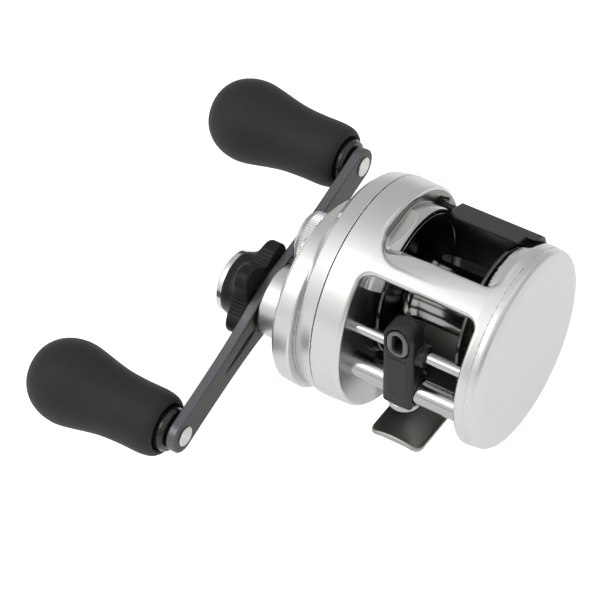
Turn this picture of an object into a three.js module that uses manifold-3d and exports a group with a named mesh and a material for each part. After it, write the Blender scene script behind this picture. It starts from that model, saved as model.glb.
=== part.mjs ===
// Baitcasting reel, conventional round body, double-handle crank on the -X side.
//
// Frame of the model, in millimetres:
//   origin at the middle of the foot's seat on the rod; +X towards the palm side plate,
//   -X towards the crank; -Y is the front (line guide), +Y the back (thumb bar);
//   +Z up, away from the rod.
// Dimensions are measured from the axis of the round body; add() moves each piece by SEAT,
// which brings the middle of the foot's seat to the origin.
// Places across the reel are [y, z]; turned profiles are lists of [radius, x].
import * as THREE from 'three';
import { mergeVertices } from 'three/addons/utils/BufferGeometryUtils.js';
import Module from 'manifold-3d';

const wasm = await Module();
wasm.setup();

// ---------------------------------------------------------------- driving dimensions
const SEAT = [2.0, -1.0, 22.2];
const BODY = [0, 0];              // axis of the round body

const SEAM_RADIUS = 32.0;         // body at the frame / handle side plate seam
const HANDLE_RING_RADIUS = 31.7;  // body at the inner face of each ring
const PALM_RING_RADIUS = 28.7;
const PALM_END_RADIUS = 28.2;
const RIM_RADIUS = 28.0;          // palm side plate, outer rim
const FACE_RADIUS = 25.05;        // flat of the palm side plate

const SEAM_X = -25.6;
const HANDLE_RING_X = -17.2;      // inner faces of the rings
const PALM_RING_X = 15.3;
const PALM_END_X = 18.4;          // palm end of the frame
const FACE_X = 21.8;

const SPOOL = [0.9, 6.6];         // spool axis
const FLANGE_RADIUS = 20.2;
const FLANGE_X = [-13.4, 11.4];   // outer faces of the spool flanges
const BORE_RADIUS = 20.75;        // spool bore in both rings
const ARBOR_RADIUS = 8.5;
const CROSS_PIN_X = -19.9;

const DRIVE = [-13.25, -5.46];    // crank shaft axis, 18.6 mm from the spool axis
const GEAR_MODULE = 0.6;          // crank gear and pinion
const GEAR_TEETH = 52;
const PINION_TEETH = 10;
const WORM = [-23.674, -4.2];     // worm axis, 10.5 mm from the crank shaft
const WIND_MODULE = 0.5;          // level-wind gear pair
const WIND_DRIVE_TEETH = 26;
const WIND_WORM_TEETH = 16;
const WIND_GEAR_X = [-22.6, -20.8];

const ROD = [-23.6, 9.5];         // guide rod axis
const ROD_RADIUS = 1.55;
const TUBE_RADIUS = 3.4;
const GUIDE_X = -1.5;             // middle of the line guide
const GUIDE_WIDTH = 9.2;
const GUIDE_TOP = 20;

const RAISED = [-7.2, -0.9];      // centre of the raised cover on the handle side plate
const RAISED_RADIUS = 26.3;
const STEP_X = -31.4;             // where the raised cover starts
const COVER_X = -37.6;            // outer face of the raised cover
const BOSS_RADIUS = 10.4;         // crank shaft boss
const BOSS_X = -48.0;
const SIDE_SCREWS = [[8.5, 14.8], [12.5, -10.0], [-14.0, 19.5]];
const BEARING_X = [-25.4, -23.4]; // bearings in the gear plate
const GEAR_PLATE_CUT_X = [-27, -22];

const ARM_HALF = 46.7;            // crank shaft to knob pivot
const ARM_TILT = 17.8;            // degrees above +Y at rest
const ARM_X = [-51.5, -48.5];     // outer and inner faces
const KNOB_END = 48.9;            // inner arm face to knob end

const FOOT = { top: -20.3, x0: -9.8, x1: 5.8, y0: -28.4, y1: 31.0, thickness: 1.9 };
const FOOT_X = (FOOT.x0 + FOOT.x1) / 2;
const FOOT_SCREWS = { front: -7, rear: 9 };  // y of each screw

const LUG = [19.2, 18.6];         // lug at the handle end of the thumb bar
const THUMB_DIRECTION = [0.76, -0.6499];
const THUMB_TRAVEL = 4.0;
const THUMB_BAR_X = [HANDLE_RING_X + 0.45, PALM_RING_X - 0.4];

// ---------------------------------------------------------------- points and outlines
const TAU = Math.PI * 2;
const rad = (degrees) => (degrees * Math.PI) / 180;
const AXES = {
  x: new THREE.Vector3(1, 0, 0),
  y: new THREE.Vector3(0, 1, 0),
  z: new THREE.Vector3(0, 0, 1),
};

const polar = ([y, z], radius, angle) =>
  [y + radius * Math.cos(angle), z + radius * Math.sin(angle)];
const angleTo = (from, to) => Math.atan2(to[1] - from[1], to[0] - from[0]);
const offset = ([y, z], points) => points.map(([dy, dz]) => [y + dy, z + dz]);
const outline = (points) => new THREE.Shape(points.map(([a, b]) => new THREE.Vector2(a, b)));

// points along an arc; angles in degrees from +Y towards +Z
function arc(centre, radius, from, to, steps) {
  return Array.from({ length: steps + 1 }, (_, i) =>
    polar(centre, radius, rad(from + ((to - from) * i) / steps)));
}

// ---------------------------------------------------------------- solids
// welds a geometry, drops collapsed triangles and turns its faces outwards
function solid(geometry) {
  geometry.deleteAttribute('normal');
  geometry.deleteAttribute('uv');
  const welded = mergeVertices(geometry, 1e-4);
  const positions = welded.getAttribute('position').array;
  const corner = (index) => new THREE.Vector3().fromArray(positions, index * 3);
  const triangles = [];
  let volume = 0;
  for (let i = 0; i < welded.index.array.length; i += 3) {
    const [a, b, c] = welded.index.array.slice(i, i + 3);
    if (a === b || b === c || a === c) continue;
    triangles.push([a, b, c]);
    volume += corner(a).dot(corner(b).cross(corner(c)));
  }
  const outward = volume < 0 ? triangles.map(([a, b, c]) => [b, a, c]) : triangles;
  return new wasm.Manifold(new wasm.Mesh({
    numProp: 3,
    vertProperties: new Float32Array(positions),
    triVerts: new Uint32Array(outward.flat()),
  }));
}
const cut = (body, ...tools) => tools.reduce((rest, tool) => rest.subtract(tool), body);
const join = (body, ...parts) => parts.reduce((sum, part) => sum.add(part), body);

// turned part about an axis parallel to X
function turned(profile, facets, [y, z] = BODY) {
  const points = profile.map(([radius, x]) => new THREE.Vector2(radius, x));
  const g = new THREE.LatheGeometry(points, facets);
  g.rotateZ(-Math.PI / 2);
  g.translate(0, y, z);
  return solid(g);
}
// turned part whose profile stays clear of the axis
const turnedRing = (profile, facets, at) => turned([...profile, profile[0]], facets, at);
const disc = (radius, x0, x1, at, facets) =>
  turned([[0, x0], [radius, x0], [radius, x1], [0, x1]], facets, at);
const ring = (bore, radius, x0, x1, at, facets) =>
  turnedRing([[bore, x0], [radius, x0], [radius, x1], [bore, x1]], facets, at);

const extrude = (shape, depth, curveSegments) =>
  new THREE.ExtrudeGeometry(shape, { depth, bevelEnabled: false, curveSegments });

// (y, z) shape extruded from x0 to x1, as a geometry
function alongX(shape, x0, x1, curveSegments) {
  const placement = new THREE.Matrix4().makeBasis(AXES.y, AXES.z, AXES.x).setPosition(x0, 0, 0);
  return extrude(shape, x1 - x0, curveSegments).applyMatrix4(placement);
}
const plate = (points, x0, x1) => solid(alongX(outline(points), x0, x1));

// (x, z) shape, moved by [x, z] and extruded from y0 to y1
function alongY(shape, y0, y1, [x, z] = [0, 0], curveSegments) {
  const g = extrude(shape, y1 - y0, curveSegments);
  g.rotateX(Math.PI / 2);
  g.translate(x, y1, z);
  return solid(g);
}
// (x, y) shape, moved by x and extruded up from z
function alongZ(shape, z, depth, x = 0, curveSegments) {
  return solid(extrude(shape, depth, curveSegments).translate(x, 0, z));
}

function block(x0, x1, y0, y1, z0, z1) {
  const g = new THREE.BoxGeometry(x1 - x0, y1 - y0, z1 - z0);
  return solid(g.translate((x0 + x1) / 2, (y0 + y1) / 2, (z0 + z1) / 2));
}
// cylinder along Z
function post(radius, x, y, z0, z1, facets) {
  const g = new THREE.CylinderGeometry(radius, radius, z1 - z0, facets);
  g.rotateX(Math.PI / 2);
  return solid(g.translate(x, y, (z0 + z1) / 2));
}
// pin square to the spool axis, running from one distance off it to another
function spoolPin(radius, from, to, x, angle = 0, facets = 8) {
  const g = new THREE.CylinderGeometry(radius, radius, to - from, facets);
  g.translate(0, (from + to) / 2, 0);
  g.rotateX(angle);
  return solid(g.translate(x, ...SPOOL));
}

// Spur gear with straight-flanked teeth, slightly thinned for running backlash.
// Addendum and dedendum are in modules; tip and root widths are fractions of a pitch.
function gear({
  module, teeth, x: [x0, x1], at, phase,
  addendum = 0.72, dedendum = 1.12, tip = 0.30, root = 0.62,
}) {
  const pitchRadius = (module * teeth) / 2;
  const tipRadius = pitchRadius + module * addendum;
  const rootRadius = pitchRadius - module * dedendum;
  const pitch = TAU / teeth;
  const points = [];
  for (let i = 0; i < teeth; i++) {
    const middle = phase + i * pitch;
    points.push(
      polar(at, rootRadius, middle - (root * pitch) / 2),
      polar(at, tipRadius, middle - (tip * pitch) / 2),
      polar(at, tipRadius, middle + (tip * pitch) / 2),
      polar(at, rootRadius, middle + (root * pitch) / 2),
    );
  }
  return plate(points, x0, x1);
}

// ---------------------------------------------------------------- scene graph
const MATERIALS = {
  satin: { color: 0xc9c7c3, roughness: 0.32, metalness: 0.9 },
  polished: { color: 0xd8d8da, roughness: 0.12, metalness: 1.0 },
  gunmetal: { color: 0x4a4a4a, roughness: 0.28, metalness: 0.9 },
  armdark: { color: 0x45443f, roughness: 0.35, metalness: 0.75 },
  black: { color: 0x1b1b1c, roughness: 0.4, metalness: 0.1 },
  rubber: { color: 0x2a2a29, roughness: 0.75, metalness: 0.0 },
  steel: { color: 0xb4b6b8, roughness: 0.25, metalness: 1.0 },
  brass: { color: 0xb8924a, roughness: 0.35, metalness: 0.95 },
  spool: { color: 0x2c2c2e, roughness: 0.18, metalness: 0.95 },
  felt: { color: 0x3b3631, roughness: 0.95, metalness: 0.0 },
  ceramic: { color: 0x6c6c6e, roughness: 0.3, metalness: 0.2 },
};
const reel = new THREE.Group();
const crank = new THREE.Group();

function add(name, body, material, parent = reel) {
  const { vertProperties, triVerts } = body.getMesh();
  const g = new THREE.BufferGeometry();
  g.setAttribute('position', new THREE.BufferAttribute(new Float32Array(vertProperties), 3));
  g.setIndex(new THREE.BufferAttribute(new Uint32Array(triVerts), 1));
  g.translate(...SEAT);
  g.computeVertexNormals();
  const mesh = new THREE.Mesh(g, new THREE.MeshStandardMaterial(MATERIALS[material]));
  mesh.name = name;
  parent.add(mesh);
}

// ================================================================ frame and housing
// thumb bar lug grown by a clearance, optionally swept along its travel
function lugBlock(x0, x1, clearance = 0, travel = 0) {
  const halfLength = 1.5 + clearance;   // along the travel
  const halfWidth = 2.2 + clearance;
  const [dy, dz] = THUMB_DIRECTION;
  const corners = [
    [-halfLength, -halfWidth], [halfLength + travel, -halfWidth],
    [halfLength + travel, halfWidth], [-halfLength, halfWidth],
  ];
  const turnedCorners = corners.map(([along, across]) =>
    [dy * along - dz * across, dz * along + dy * across]);
  return plate(offset(LUG, turnedCorners), x0, x1);
}
const lugSlot = (x0, x1) => lugBlock(x0, x1, 0.35, THUMB_TRAVEL);

function crossbar(from, to, steps) {
  const points = [...arc(BODY, 36, from, to, steps), ...arc(BODY, 20, to, from, steps)];
  return plate(points, HANDLE_RING_X - 0.5, PALM_RING_X + 0.5);
}

// wedge with its point on the spool axis
const spoolWedge = (from, to, x0, x1) => plate([SPOOL, ...arc(SPOOL, 30, from, to, 8)], x0, x1);

// flat cut across the back of the front crossbar, with one rounded corner in plan
function thumbRestCut() {
  const angle = rad(98);
  const height = 28.45;                 // body axis to the flat
  const radius = 7;
  const [left, right, back, front] = [-16.7, 17.6, -3, 11.3];
  const plan = new THREE.Shape();
  plan.moveTo(left, back);
  plan.lineTo(left, front - radius);
  plan.absarc(left + radius, front - radius, radius, Math.PI, Math.PI / 2, true);
  plan.lineTo(right, front);
  plan.lineTo(right, back);
  const forward = new THREE.Vector3(0, -Math.sin(angle), Math.cos(angle));
  const outward = new THREE.Vector3(0, Math.cos(angle), Math.sin(angle));
  const placement = new THREE.Matrix4().makeBasis(AXES.x, forward, outward)
    .setPosition(outward.clone().multiplyScalar(height));
  return solid(extrude(plan, 8, 5).applyMatrix4(placement));
}

// raised surround of the spool flange, on the front and top of the handle-side ring
function handleSurround() {
  const x0 = HANDLE_RING_X - 0.3;
  const x1 = -12.7;
  const profile = [
    [BORE_RADIUS, x0], [23.4, x0], [23.4, -15.4], [21.4, x1], [BORE_RADIUS, x1],
  ];
  return turnedRing(profile, 40, SPOOL)
    .intersect(spoolWedge(42, 148, HANDLE_RING_X - 0.4, -12))
    .intersect(disc(25.2, HANDLE_RING_X - 0.5, -12, [-2.5, 4.7], 40));
}

// sloping lip at the palm end of the top window
function palmLip() {
  const x0 = 12.5;
  const x1 = PALM_RING_X + 0.3;
  const profile = [[BORE_RADIUS, x0], [21.0, x0], [21.85, x1], [BORE_RADIUS, x1]];
  return turnedRing(profile, 40, SPOOL).intersect(spoolWedge(66, 114, 12, PALM_RING_X + 0.4));
}

// one piece: two rings, a front top crossbar, a rear crossbar and a flat bottom bridge
function buildFrame() {
  const shell = turned([
    [0, SEAM_X], [SEAM_RADIUS, SEAM_X], [HANDLE_RING_RADIUS, HANDLE_RING_X],
    [PALM_RING_RADIUS, PALM_RING_X], [PALM_END_RADIUS, PALM_END_X], [0, PALM_END_X],
  ], 40);
  const interior = turned([
    [0, HANDLE_RING_X], [HANDLE_RING_RADIUS - 3.1, HANDLE_RING_X],
    [PALM_RING_RADIUS - 2.9, PALM_RING_X], [0, PALM_RING_X],
  ], 40);
  const windows = cut(
    block(HANDLE_RING_X, PALM_RING_X, -40, 40, -40, 40),
    crossbar(108, 127, 3),
    crossbar(-34, -12, 4),
  );
  const rings = cut(shell,
    windows,
    interior,
    disc(BORE_RADIUS, HANDLE_RING_X - 1.0, 30, SPOOL, 40),
    disc(4.2, -30, 30, SPOOL, 15),
    disc(30.0, SEAM_X - 1, -19.2, BODY, 40),          // gear pocket
    disc(26.0, 17.2, PALM_END_X + 1, BODY, 26),       // recess for the palm side plate
  );
  const bridge = block(HANDLE_RING_X - 1, PALM_RING_X + 1, -12, 14, -20.0, -17.4);
  const body = join(cut(rings.add(bridge), thumbRestCut()), handleSurround(), palmLip());
  return cut(body,
    disc(ROD_RADIUS + 0.12, HANDLE_RING_X - 1.5, HANDLE_RING_X + 1, ROD, 13),
    disc(ROD_RADIUS + 0.12, PALM_RING_X - 1, PALM_RING_X + 1.4, ROD, 13),
    disc(TUBE_RADIUS + 0.15, HANDLE_RING_X - 0.8, HANDLE_RING_X + 1, WORM, 18),
    disc(TUBE_RADIUS + 0.15, PALM_RING_X - 1, PALM_RING_X + 0.8, WORM, 18),
    disc(2.6, HANDLE_RING_X - 4, HANDLE_RING_X + 1, WORM, 13),
    disc(1.35, PALM_RING_X - 1, PALM_RING_X + 1.7, WORM, 13),
    lugSlot(-19.8, HANDLE_RING_X + 0.3),
    ...Object.values(FOOT_SCREWS).map((y) => post(1.35, FOOT_X, y, -22, -16, 11)),
  );
}
add('frame', buildFrame(), 'satin');

const sideScrewHoles = (x0, x1) => SIDE_SCREWS.map((at) => disc(1.55, x0, x1, at, 11));

// round barrel, raised off-centre gear cover, crank boss and cast-control boss
function buildHandleSidePlate() {
  const barrel = turned([
    [0, STEP_X - 1.1], [29.1, STEP_X - 1.1], [31.05, STEP_X + 0.8],
    [31.9, SEAM_X - 0.3], [0, SEAM_X - 0.3],
  ], 40);
  const raisedCover = turned([
    [0, COVER_X], [24.6, COVER_X], [RAISED_RADIUS, COVER_X + 1.6],
    [RAISED_RADIUS + 0.3, STEP_X], [0, STEP_X],
  ], 35, RAISED);
  const body = join(barrel, raisedCover,
    disc(BOSS_RADIUS, BOSS_X, COVER_X + 0.5, DRIVE, 26),
    disc(5.6, COVER_X - 5.2, COVER_X + 0.5, SPOOL, 18),
  );
  // opening between the hollow of the raised cover and the hollow of the barrel
  const opening = disc(25.1, STEP_X - 1.5, STEP_X + 1.2, RAISED, 35)
    .intersect(disc(29.3, STEP_X - 1.6, STEP_X + 1.3, BODY, 40));
  return cut(body,
    disc(29.9, STEP_X + 0.9, SEAM_X + 1, BODY, 40),
    disc(25.1, COVER_X + 1.3, STEP_X - 1.25, RAISED, 35),
    opening,
    disc(8.3, BOSS_X + 1.4, COVER_X + 2, DRIVE, 22),
    disc(5.0, BOSS_X - 1, BOSS_X + 2, DRIVE, 18),
    disc(4.15, COVER_X - 4.0, COVER_X + 2, SPOOL, 18),
    disc(2.2, COVER_X - 6, COVER_X, SPOOL, 13),
    ...sideScrewHoles(-50, -20),
  );
}
add('handle_side_plate', buildHandleSidePlate(), 'satin');

// shallow domed cap with a spigot in the spool bore and a bearing boss
function buildPalmSidePlate() {
  const dome = turned([
    [0, PALM_END_X + 0.1], [PALM_END_RADIUS, PALM_END_X + 0.1], [RIM_RADIUS + 0.1, 20.45],
    [RIM_RADIUS - 0.3, 20.75], [FACE_RADIUS, FACE_X], [14, 22.25], [0, 22.4],
  ], 40);
  const hollow = turned([[0, 18], [24.4, 18], [24.4, 20.4], [0, 20.8]], 26);
  return join(cut(dome, hollow),
    ring(18.4, 20.3, 16.2, 20.6, SPOOL, 35),
    ring(4.2, 6.2, 16.2, 20.9, SPOOL, 18),
  );
}
add('palm_side_plate', buildPalmSidePlate(), 'satin');

// inside the handle-side ring; carries the shaft and pinion bearings
function buildGearPlate() {
  return cut(disc(29.6, -25.5, -23.3, BODY, 35),
    disc(5.15, ...GEAR_PLATE_CUT_X, SPOOL, 18),
    disc(5.15, ...GEAR_PLATE_CUT_X, DRIVE, 18),
    disc(1.8, ...GEAR_PLATE_CUT_X, WORM, 11),
    lugSlot(...GEAR_PLATE_CUT_X),
    ...sideScrewHoles(...GEAR_PLATE_CUT_X),
  );
}
add('gear_plate', buildGearPlate(), 'gunmetal');

// flat saddle along Y with rounded corners, under the frame's bottom bridge
function buildFoot() {
  const { top, x0, x1, y0, y1, thickness } = FOOT;
  const half = (x1 - x0) / 2;
  // [x, z] from the middle of the top: crowned top, flat-centred concave underside
  const section = outline([
    [-half, -1.3], [-half + 1.2, -0.45], [-4, 0],
    [4, 0], [half - 1.2, -0.45], [half, -1.3],
    [half, -thickness - 0.7], [half - 1.0, -thickness - 0.6], [3.4, -thickness],
    [-3.4, -thickness], [-half + 1.0, -thickness - 0.6], [-half, -thickness - 0.7],
  ]);
  const radius = 2.6;
  const right = half - radius;
  const front = y0 + radius;
  const back = y1 - radius;
  const plan = new THREE.Shape();
  [[right, front], [right, back], [-right, back], [-right, front]].forEach(([x, y], i) => {
    plan.absarc(x, y, radius, ((i - 1) * Math.PI) / 2, (i * Math.PI) / 2, false);
  });
  const blank = alongY(section, y0, y1, [FOOT_X, top])
    .intersect(alongZ(plan, top - 8, 12, FOOT_X, 3));
  return cut(blank, ...Object.values(FOOT_SCREWS).flatMap((y) => [
    post(1.5, FOOT_X, y, top - 6, top + 1, 11),
    post(2.7, FOOT_X, y, top - 6, top - thickness + 1.0, 13),
  ]));
}
add('reel_foot', buildFoot(), 'gunmetal');

function buildFootScrew(y) {
  const underside = FOOT.top - FOOT.thickness;
  const screw = join(
    post(1.2, FOOT_X, y, underside + 0.7, -17.6, 11),
    post(2.4, FOOT_X, y, underside - 0.25, underside + 0.75, 13),
  );
  return cut(screw, block(
    FOOT_X - 1.7, FOOT_X + 1.7, y - 0.35, y + 0.35, underside - 1, underside + 0.2));
}
for (const [place, y] of Object.entries(FOOT_SCREWS)) {
  add(`foot_screw_${place}`, buildFootScrew(y), 'steel');
}

// slotted screws, run in from the handle side
function buildSideScrew([y, z]) {
  const screw = join(
    disc(1.35, COVER_X - 0.2, -23.6, [y, z], 11),
    disc(2.6, COVER_X - 1.3, COVER_X - 0.15, [y, z], 13),
  );
  return cut(screw, block(COVER_X - 2, COVER_X - 0.75, y - 3, y + 3, z - 0.35, z + 0.35));
}
SIDE_SCREWS.forEach((at, i) => add(`side_plate_screw_${i + 1}`, buildSideScrew(at), 'steel'));

// ================================================================ level wind
const rodEnds = [HANDLE_RING_X - 1.3, PALM_RING_X + 1.2];
add('guide_rod', disc(ROD_RADIUS, ...rodEnds, ROD, 13), 'polished');

// tube round the worm shaft, slotted along its underside
function buildTube() {
  const [y, z] = WORM;
  return cut(
    ring(2.65, TUBE_RADIUS, HANDLE_RING_X - 0.65, PALM_RING_X + 0.65, WORM, 18),
    block(-13.6, 11.8, y - 1.3, y + 1.3, z - 5, z - 1.0),
  );
}
add('level_wind_tube', buildTube(), 'polished');

// the worm's thread is simplified to a row of separate turned grooves
function buildWormShaft() {
  const radius = 2.3;
  const grooveRadius = 1.75;
  const profile = [[0, -22.7], [1.5, -22.7], [1.5, -17.0], [radius, -17.0]];
  for (let x = -12.5; x <= 11; x += 3) {
    profile.push([radius, x - 0.55], [grooveRadius, x - 0.2]);
    profile.push([grooveRadius, x + 0.2], [radius, x + 0.55]);
  }
  profile.push([radius, 14.9], [1.1, 14.9], [1.1, 16.7], [0, 16.7]);
  return turned(profile, 11, WORM);
}
add('worm_shaft', buildWormShaft(), 'steel');

const windPhase = angleTo(DRIVE, WORM);
function buildWormGear() {
  const wheel = gear({
    module: WIND_MODULE, teeth: WIND_WORM_TEETH, x: WIND_GEAR_X, at: WORM,
    phase: windPhase + Math.PI + Math.PI / WIND_WORM_TEETH,
  });
  return cut(wheel, disc(1.62, -24, -19, WORM, 11));
}
add('worm_gear', buildWormGear(), 'brass');

// round-ended upright bar along Y, on the middle of the line guide
function obround(halfWidth, halfHeight, y0, y1, z) {
  const straight = halfHeight - halfWidth;
  const shape = new THREE.Shape();
  shape.absarc(0, straight, halfWidth, 0, Math.PI, false);
  shape.absarc(0, -straight, halfWidth, Math.PI, TAU, false);
  return alongY(shape, y0, y1, [GUIDE_X, z], 5);
}

const INSERT_Z = 14.25;
function buildLineGuide() {
  const half = GUIDE_WIDTH / 2;
  const x0 = GUIDE_X - half;
  const x1 = GUIDE_X + half;
  const side = plate([
    [-28, -8.0], [-19.6, -8.0], [-19.5, -0.6], [-21.3, 1.2], [-21.3, 18.6],
    [-22.4, GUIDE_TOP], [-25.6, GUIDE_TOP], [-27.4, 18.8], [-28, 17.2],
  ], x0, x1);
  const arch = new THREE.Shape();
  arch.moveTo(x0, -9);
  arch.lineTo(x1, -9);
  arch.absarc(GUIDE_X, GUIDE_TOP - half, half, 0, Math.PI, false);
  const body = side
    .intersect(alongY(arch, -30, -18, [0, 0], 9))
    .add(disc(3.0, x1 - 0.5, x1 + 2.0, ROD, 13));
  return cut(body,
    disc(ROD_RADIUS + 0.1, x0 - 1, x1 + 3, ROD, 13),
    disc(TUBE_RADIUS + 0.12, x0 - 1, x1 + 1, WORM, 18),
    obround(1.6, 2.95, -32, -18, 14.65),
    obround(3.25, 4.25, -29, -26.9, INSERT_Z),
    post(2.4, GUIDE_X, WORM[0], -9, WORM[1] - 1, 13),
  );
}
add('line_guide', buildLineGuide(), 'black');
add('guide_insert', cut(
  obround(3.1, 4.1, -28.3, -27.05, INSERT_Z),
  obround(1.6, 3.2, -32, -20, INSERT_Z),
), 'ceramic');
add('level_wind_pawl', join(
  post(1.05, GUIDE_X, WORM[0], -7.7, -6.75, 10),
  post(1.9, GUIDE_X, WORM[0], -9.0, -7.65, 11),
), 'brass');
add('pawl_cap', cut(
  post(4.4, GUIDE_X, WORM[0], -10.2, -8.25, 18),
  post(2.15, GUIDE_X, WORM[0], -9.2, -8, 11),
  block(GUIDE_X - 5, GUIDE_X + 5, WORM[0] - 0.5, WORM[0] + 0.5, -11, -9.75),
), 'polished');

// ================================================================ spool group
function buildSpool() {
  const [x0, x1] = FLANGE_X;
  return turnedRing([
    [2.7, x0 - 1.6], [5.2, x0 - 1.6], [5.2, x0], [FLANGE_RADIUS, x0],
    [FLANGE_RADIUS, -12.5], [11, -11.6], [ARBOR_RADIUS, -10.2],
    [ARBOR_RADIUS, 8.2], [11, 9.6], [FLANGE_RADIUS, 10.5],
    [FLANGE_RADIUS, x1], [2.7, x1],
  ], 31, SPOOL);
}
add('spool', buildSpool(), 'spool');

function buildSpoolShaft() {
  const shaft = turned([
    [0, -43.4], [0.9, -43.4], [1.5, -42.8], [1.5, -16.5], [2.5, -16.2],
    [2.5, 13.2], [1.5, 13.6], [1.5, 18.9], [0, 19.3],
  ], 13, SPOOL);
  return cut(shaft, spoolPin(0.75, -4, 4, CROSS_PIN_X, 0, 10));
}
add('spool_shaft', buildSpoolShaft(), 'steel');
add('spool_cross_pin', spoolPin(0.6, -2.7, 2.7, CROSS_PIN_X, 0, 10), 'steel');

// hub with four brake blocks on radial stems
const BLOCK_X = 13.3;
const BLOCK_END = 9.9;
const blockAngles = [0, 1, 2, 3].map((i) => rad(45 + 90 * i));
add('brake_hub', cut(
  turnedRing([[2.7, 11.7], [6.0, 11.7], [6.0, 14.9], [2.7, 14.9]], 18, SPOOL),
  ...blockAngles.map((angle) => spoolPin(0.72, 4.0, 12, BLOCK_X, angle)),
), 'black');
blockAngles.forEach((angle, i) => {
  const stem = spoolPin(0.55, 4.6, BLOCK_END, BLOCK_X, angle);
  const head = spoolPin(1.25, 6.6, BLOCK_END, BLOCK_X, angle);
  add(`brake_block_${i + 1}`, join(stem, head), 'ceramic');
});
add('brake_drum', ring(10.5, 11.6, 12.2, 16.0, SPOOL, 22), 'brass');
add('spool_bearing_palm', ring(1.65, 4.05, 16.6, 19.2, SPOOL, 18), 'steel');
add('spool_bearing_handle', ring(1.65, 4.0, COVER_X - 3.8, COVER_X - 1.4, SPOOL, 18), 'steel');
add('pinion_bearing', ring(2.85, 5.0, ...BEARING_X, SPOOL, 18), 'steel');

// teeth, yoke groove and slotted clutch end, from the handle side inwards
function buildPinion() {
  const [y, z] = SPOOL;
  const teeth = gear({
    module: GEAR_MODULE, teeth: PINION_TEETH, x: [-37.0, -31.0], at: SPOOL,
    phase: angleTo(SPOOL, DRIVE) + Math.PI / PINION_TEETH, dedendum: 1.0,
  });
  const barrel = turned([
    [0, -31.1], [3.6, -31.1], [3.6, -30.2], [2.7, -30.2], [2.7, -28.5], [3.6, -28.5],
    [3.6, -27.7], [2.65, -27.7], [2.65, -21.3], [3.5, -21.0], [3.5, -18.9], [0, -18.9],
  ], 18, SPOOL);
  return cut(join(teeth, barrel),
    disc(1.72, -40, -18, SPOOL, 13),
    block(-20.75, -18, y - 4, y + 4, z - 0.8, z + 0.8),
  );
}
add('pinion_gear', buildPinion(), 'brass');

// fork straddling the pinion groove, sliding on two pins
const YOKE_PINS = offset(SPOOL, [[-4.2, 6.2], [4.2, 6.2]]);
function buildYoke() {
  const fork = plate(offset(SPOOL, [
    [-5.2, -2.6], [-2.95, -2.6], [-2.95, 0.6], [-1.6, 2.7],
    [1.6, 2.7], [2.95, 0.6], [2.95, -2.6], [5.2, -2.6],
    [6.8, 6.2], [3.2, 9.4], [-3.2, 9.4], [-6.8, 6.2],
  ]), -29.9, -28.8);
  return cut(fork, ...YOKE_PINS.map((at) => disc(0.95, -31, -27, at, 10)));
}
add('clutch_yoke', buildYoke(), 'steel');
['a', 'b'].forEach((id, i) => {
  add(`yoke_guide_pin_${id}`, disc(0.8, -33.2, -25.75, YOKE_PINS[i], 10), 'steel');
});

// ================================================================ crank group
reel.add(crank);

add('drive_shaft', turned([
  [0, -20.2], [2.0, -20.2], [2.0, -23.0], [2.9, -23.0], [2.9, -27.0], [4.6, -27.0], [4.6, -28.2],
  [3.6, -28.2], [3.6, -48.2], [3.0, -48.2], [3.0, -62.0], [0, -62.0],
], 18, DRIVE), 'steel', crank);
add('level_wind_drive_gear', cut(
  gear({
    module: WIND_MODULE, teeth: WIND_DRIVE_TEETH, x: WIND_GEAR_X, at: DRIVE, phase: windPhase,
  }),
  disc(2.15, -24, -19, DRIVE, 13),
), 'black', crank);
add('anti_reverse_ratchet', cut(
  gear({
    module: 1.25, teeth: 12, x: [-30.2, -28.7], at: DRIVE, phase: 0.1,
    addendum: 0.6, dedendum: 0.7, tip: 0.12, root: 0.55,
  }),
  disc(3.75, -32, -27, DRIVE, 18),
), 'steel', crank);
add('drive_gear', cut(
  gear({
    module: GEAR_MODULE, teeth: GEAR_TEETH, x: [-36.0, -33.2], at: DRIVE,
    phase: angleTo(DRIVE, SPOOL),
  }),
  disc(3.75, -38, -28, DRIVE, 18),
  ring(5.6, 12.6, -36.5, -34.2, DRIVE, 22),   // recess for the drag stack
), 'brass', crank);
add('drag_washer', ring(5.9, 12.3, -35.0, -34.35, DRIVE, 22), 'felt', crank);
add('drag_pressure_plate', ring(5.9, 12.3, -35.9, -35.15, DRIVE, 22), 'steel', crank);
add('drag_sleeve', turnedRing([
  [3.8, -48.1], [4.6, -48.1], [4.6, -37.0], [5.3, -37.0], [5.3, -36.15], [3.8, -36.15],
], 15, DRIVE), 'steel', crank);

// anti-reverse pawl, lifted just clear of the ratchet teeth
const [PAWL] = offset(DRIVE, [[9.6, -9.0]]);
add('anti_reverse_pawl', cut(
  plate(offset(PAWL, [
    [-1.9, -1.6], [1.9, -1.6], [1.9, 1.6], [-1.0, 2.4], [-5.4, 1.7], [-5.2, 0.4],
  ]), -30.1, -28.8),
  disc(0.98, -32, -27, PAWL, 10),
), 'steel');
add('pawl_pivot_pin', disc(0.8, -31.0, -25.75, PAWL, 10), 'steel');
add('drive_shaft_bearing', ring(3.05, 5.0, ...BEARING_X, DRIVE, 18), 'steel');
add('one_way_clutch', ring(5.1, 8.15, BOSS_X + 1.6, -38.6, DRIVE, 22), 'steel');

// shape drawn along the arm's own length about the shaft, then turned to the rest tilt
function tiltedPlate(shape, x0, x1) {
  const placement = new THREE.Matrix4().makeRotationX(rad(ARM_TILT)).setPosition(0, ...DRIVE);
  return solid(alongX(shape, x0, x1, 5).applyMatrix4(placement));
}

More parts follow.
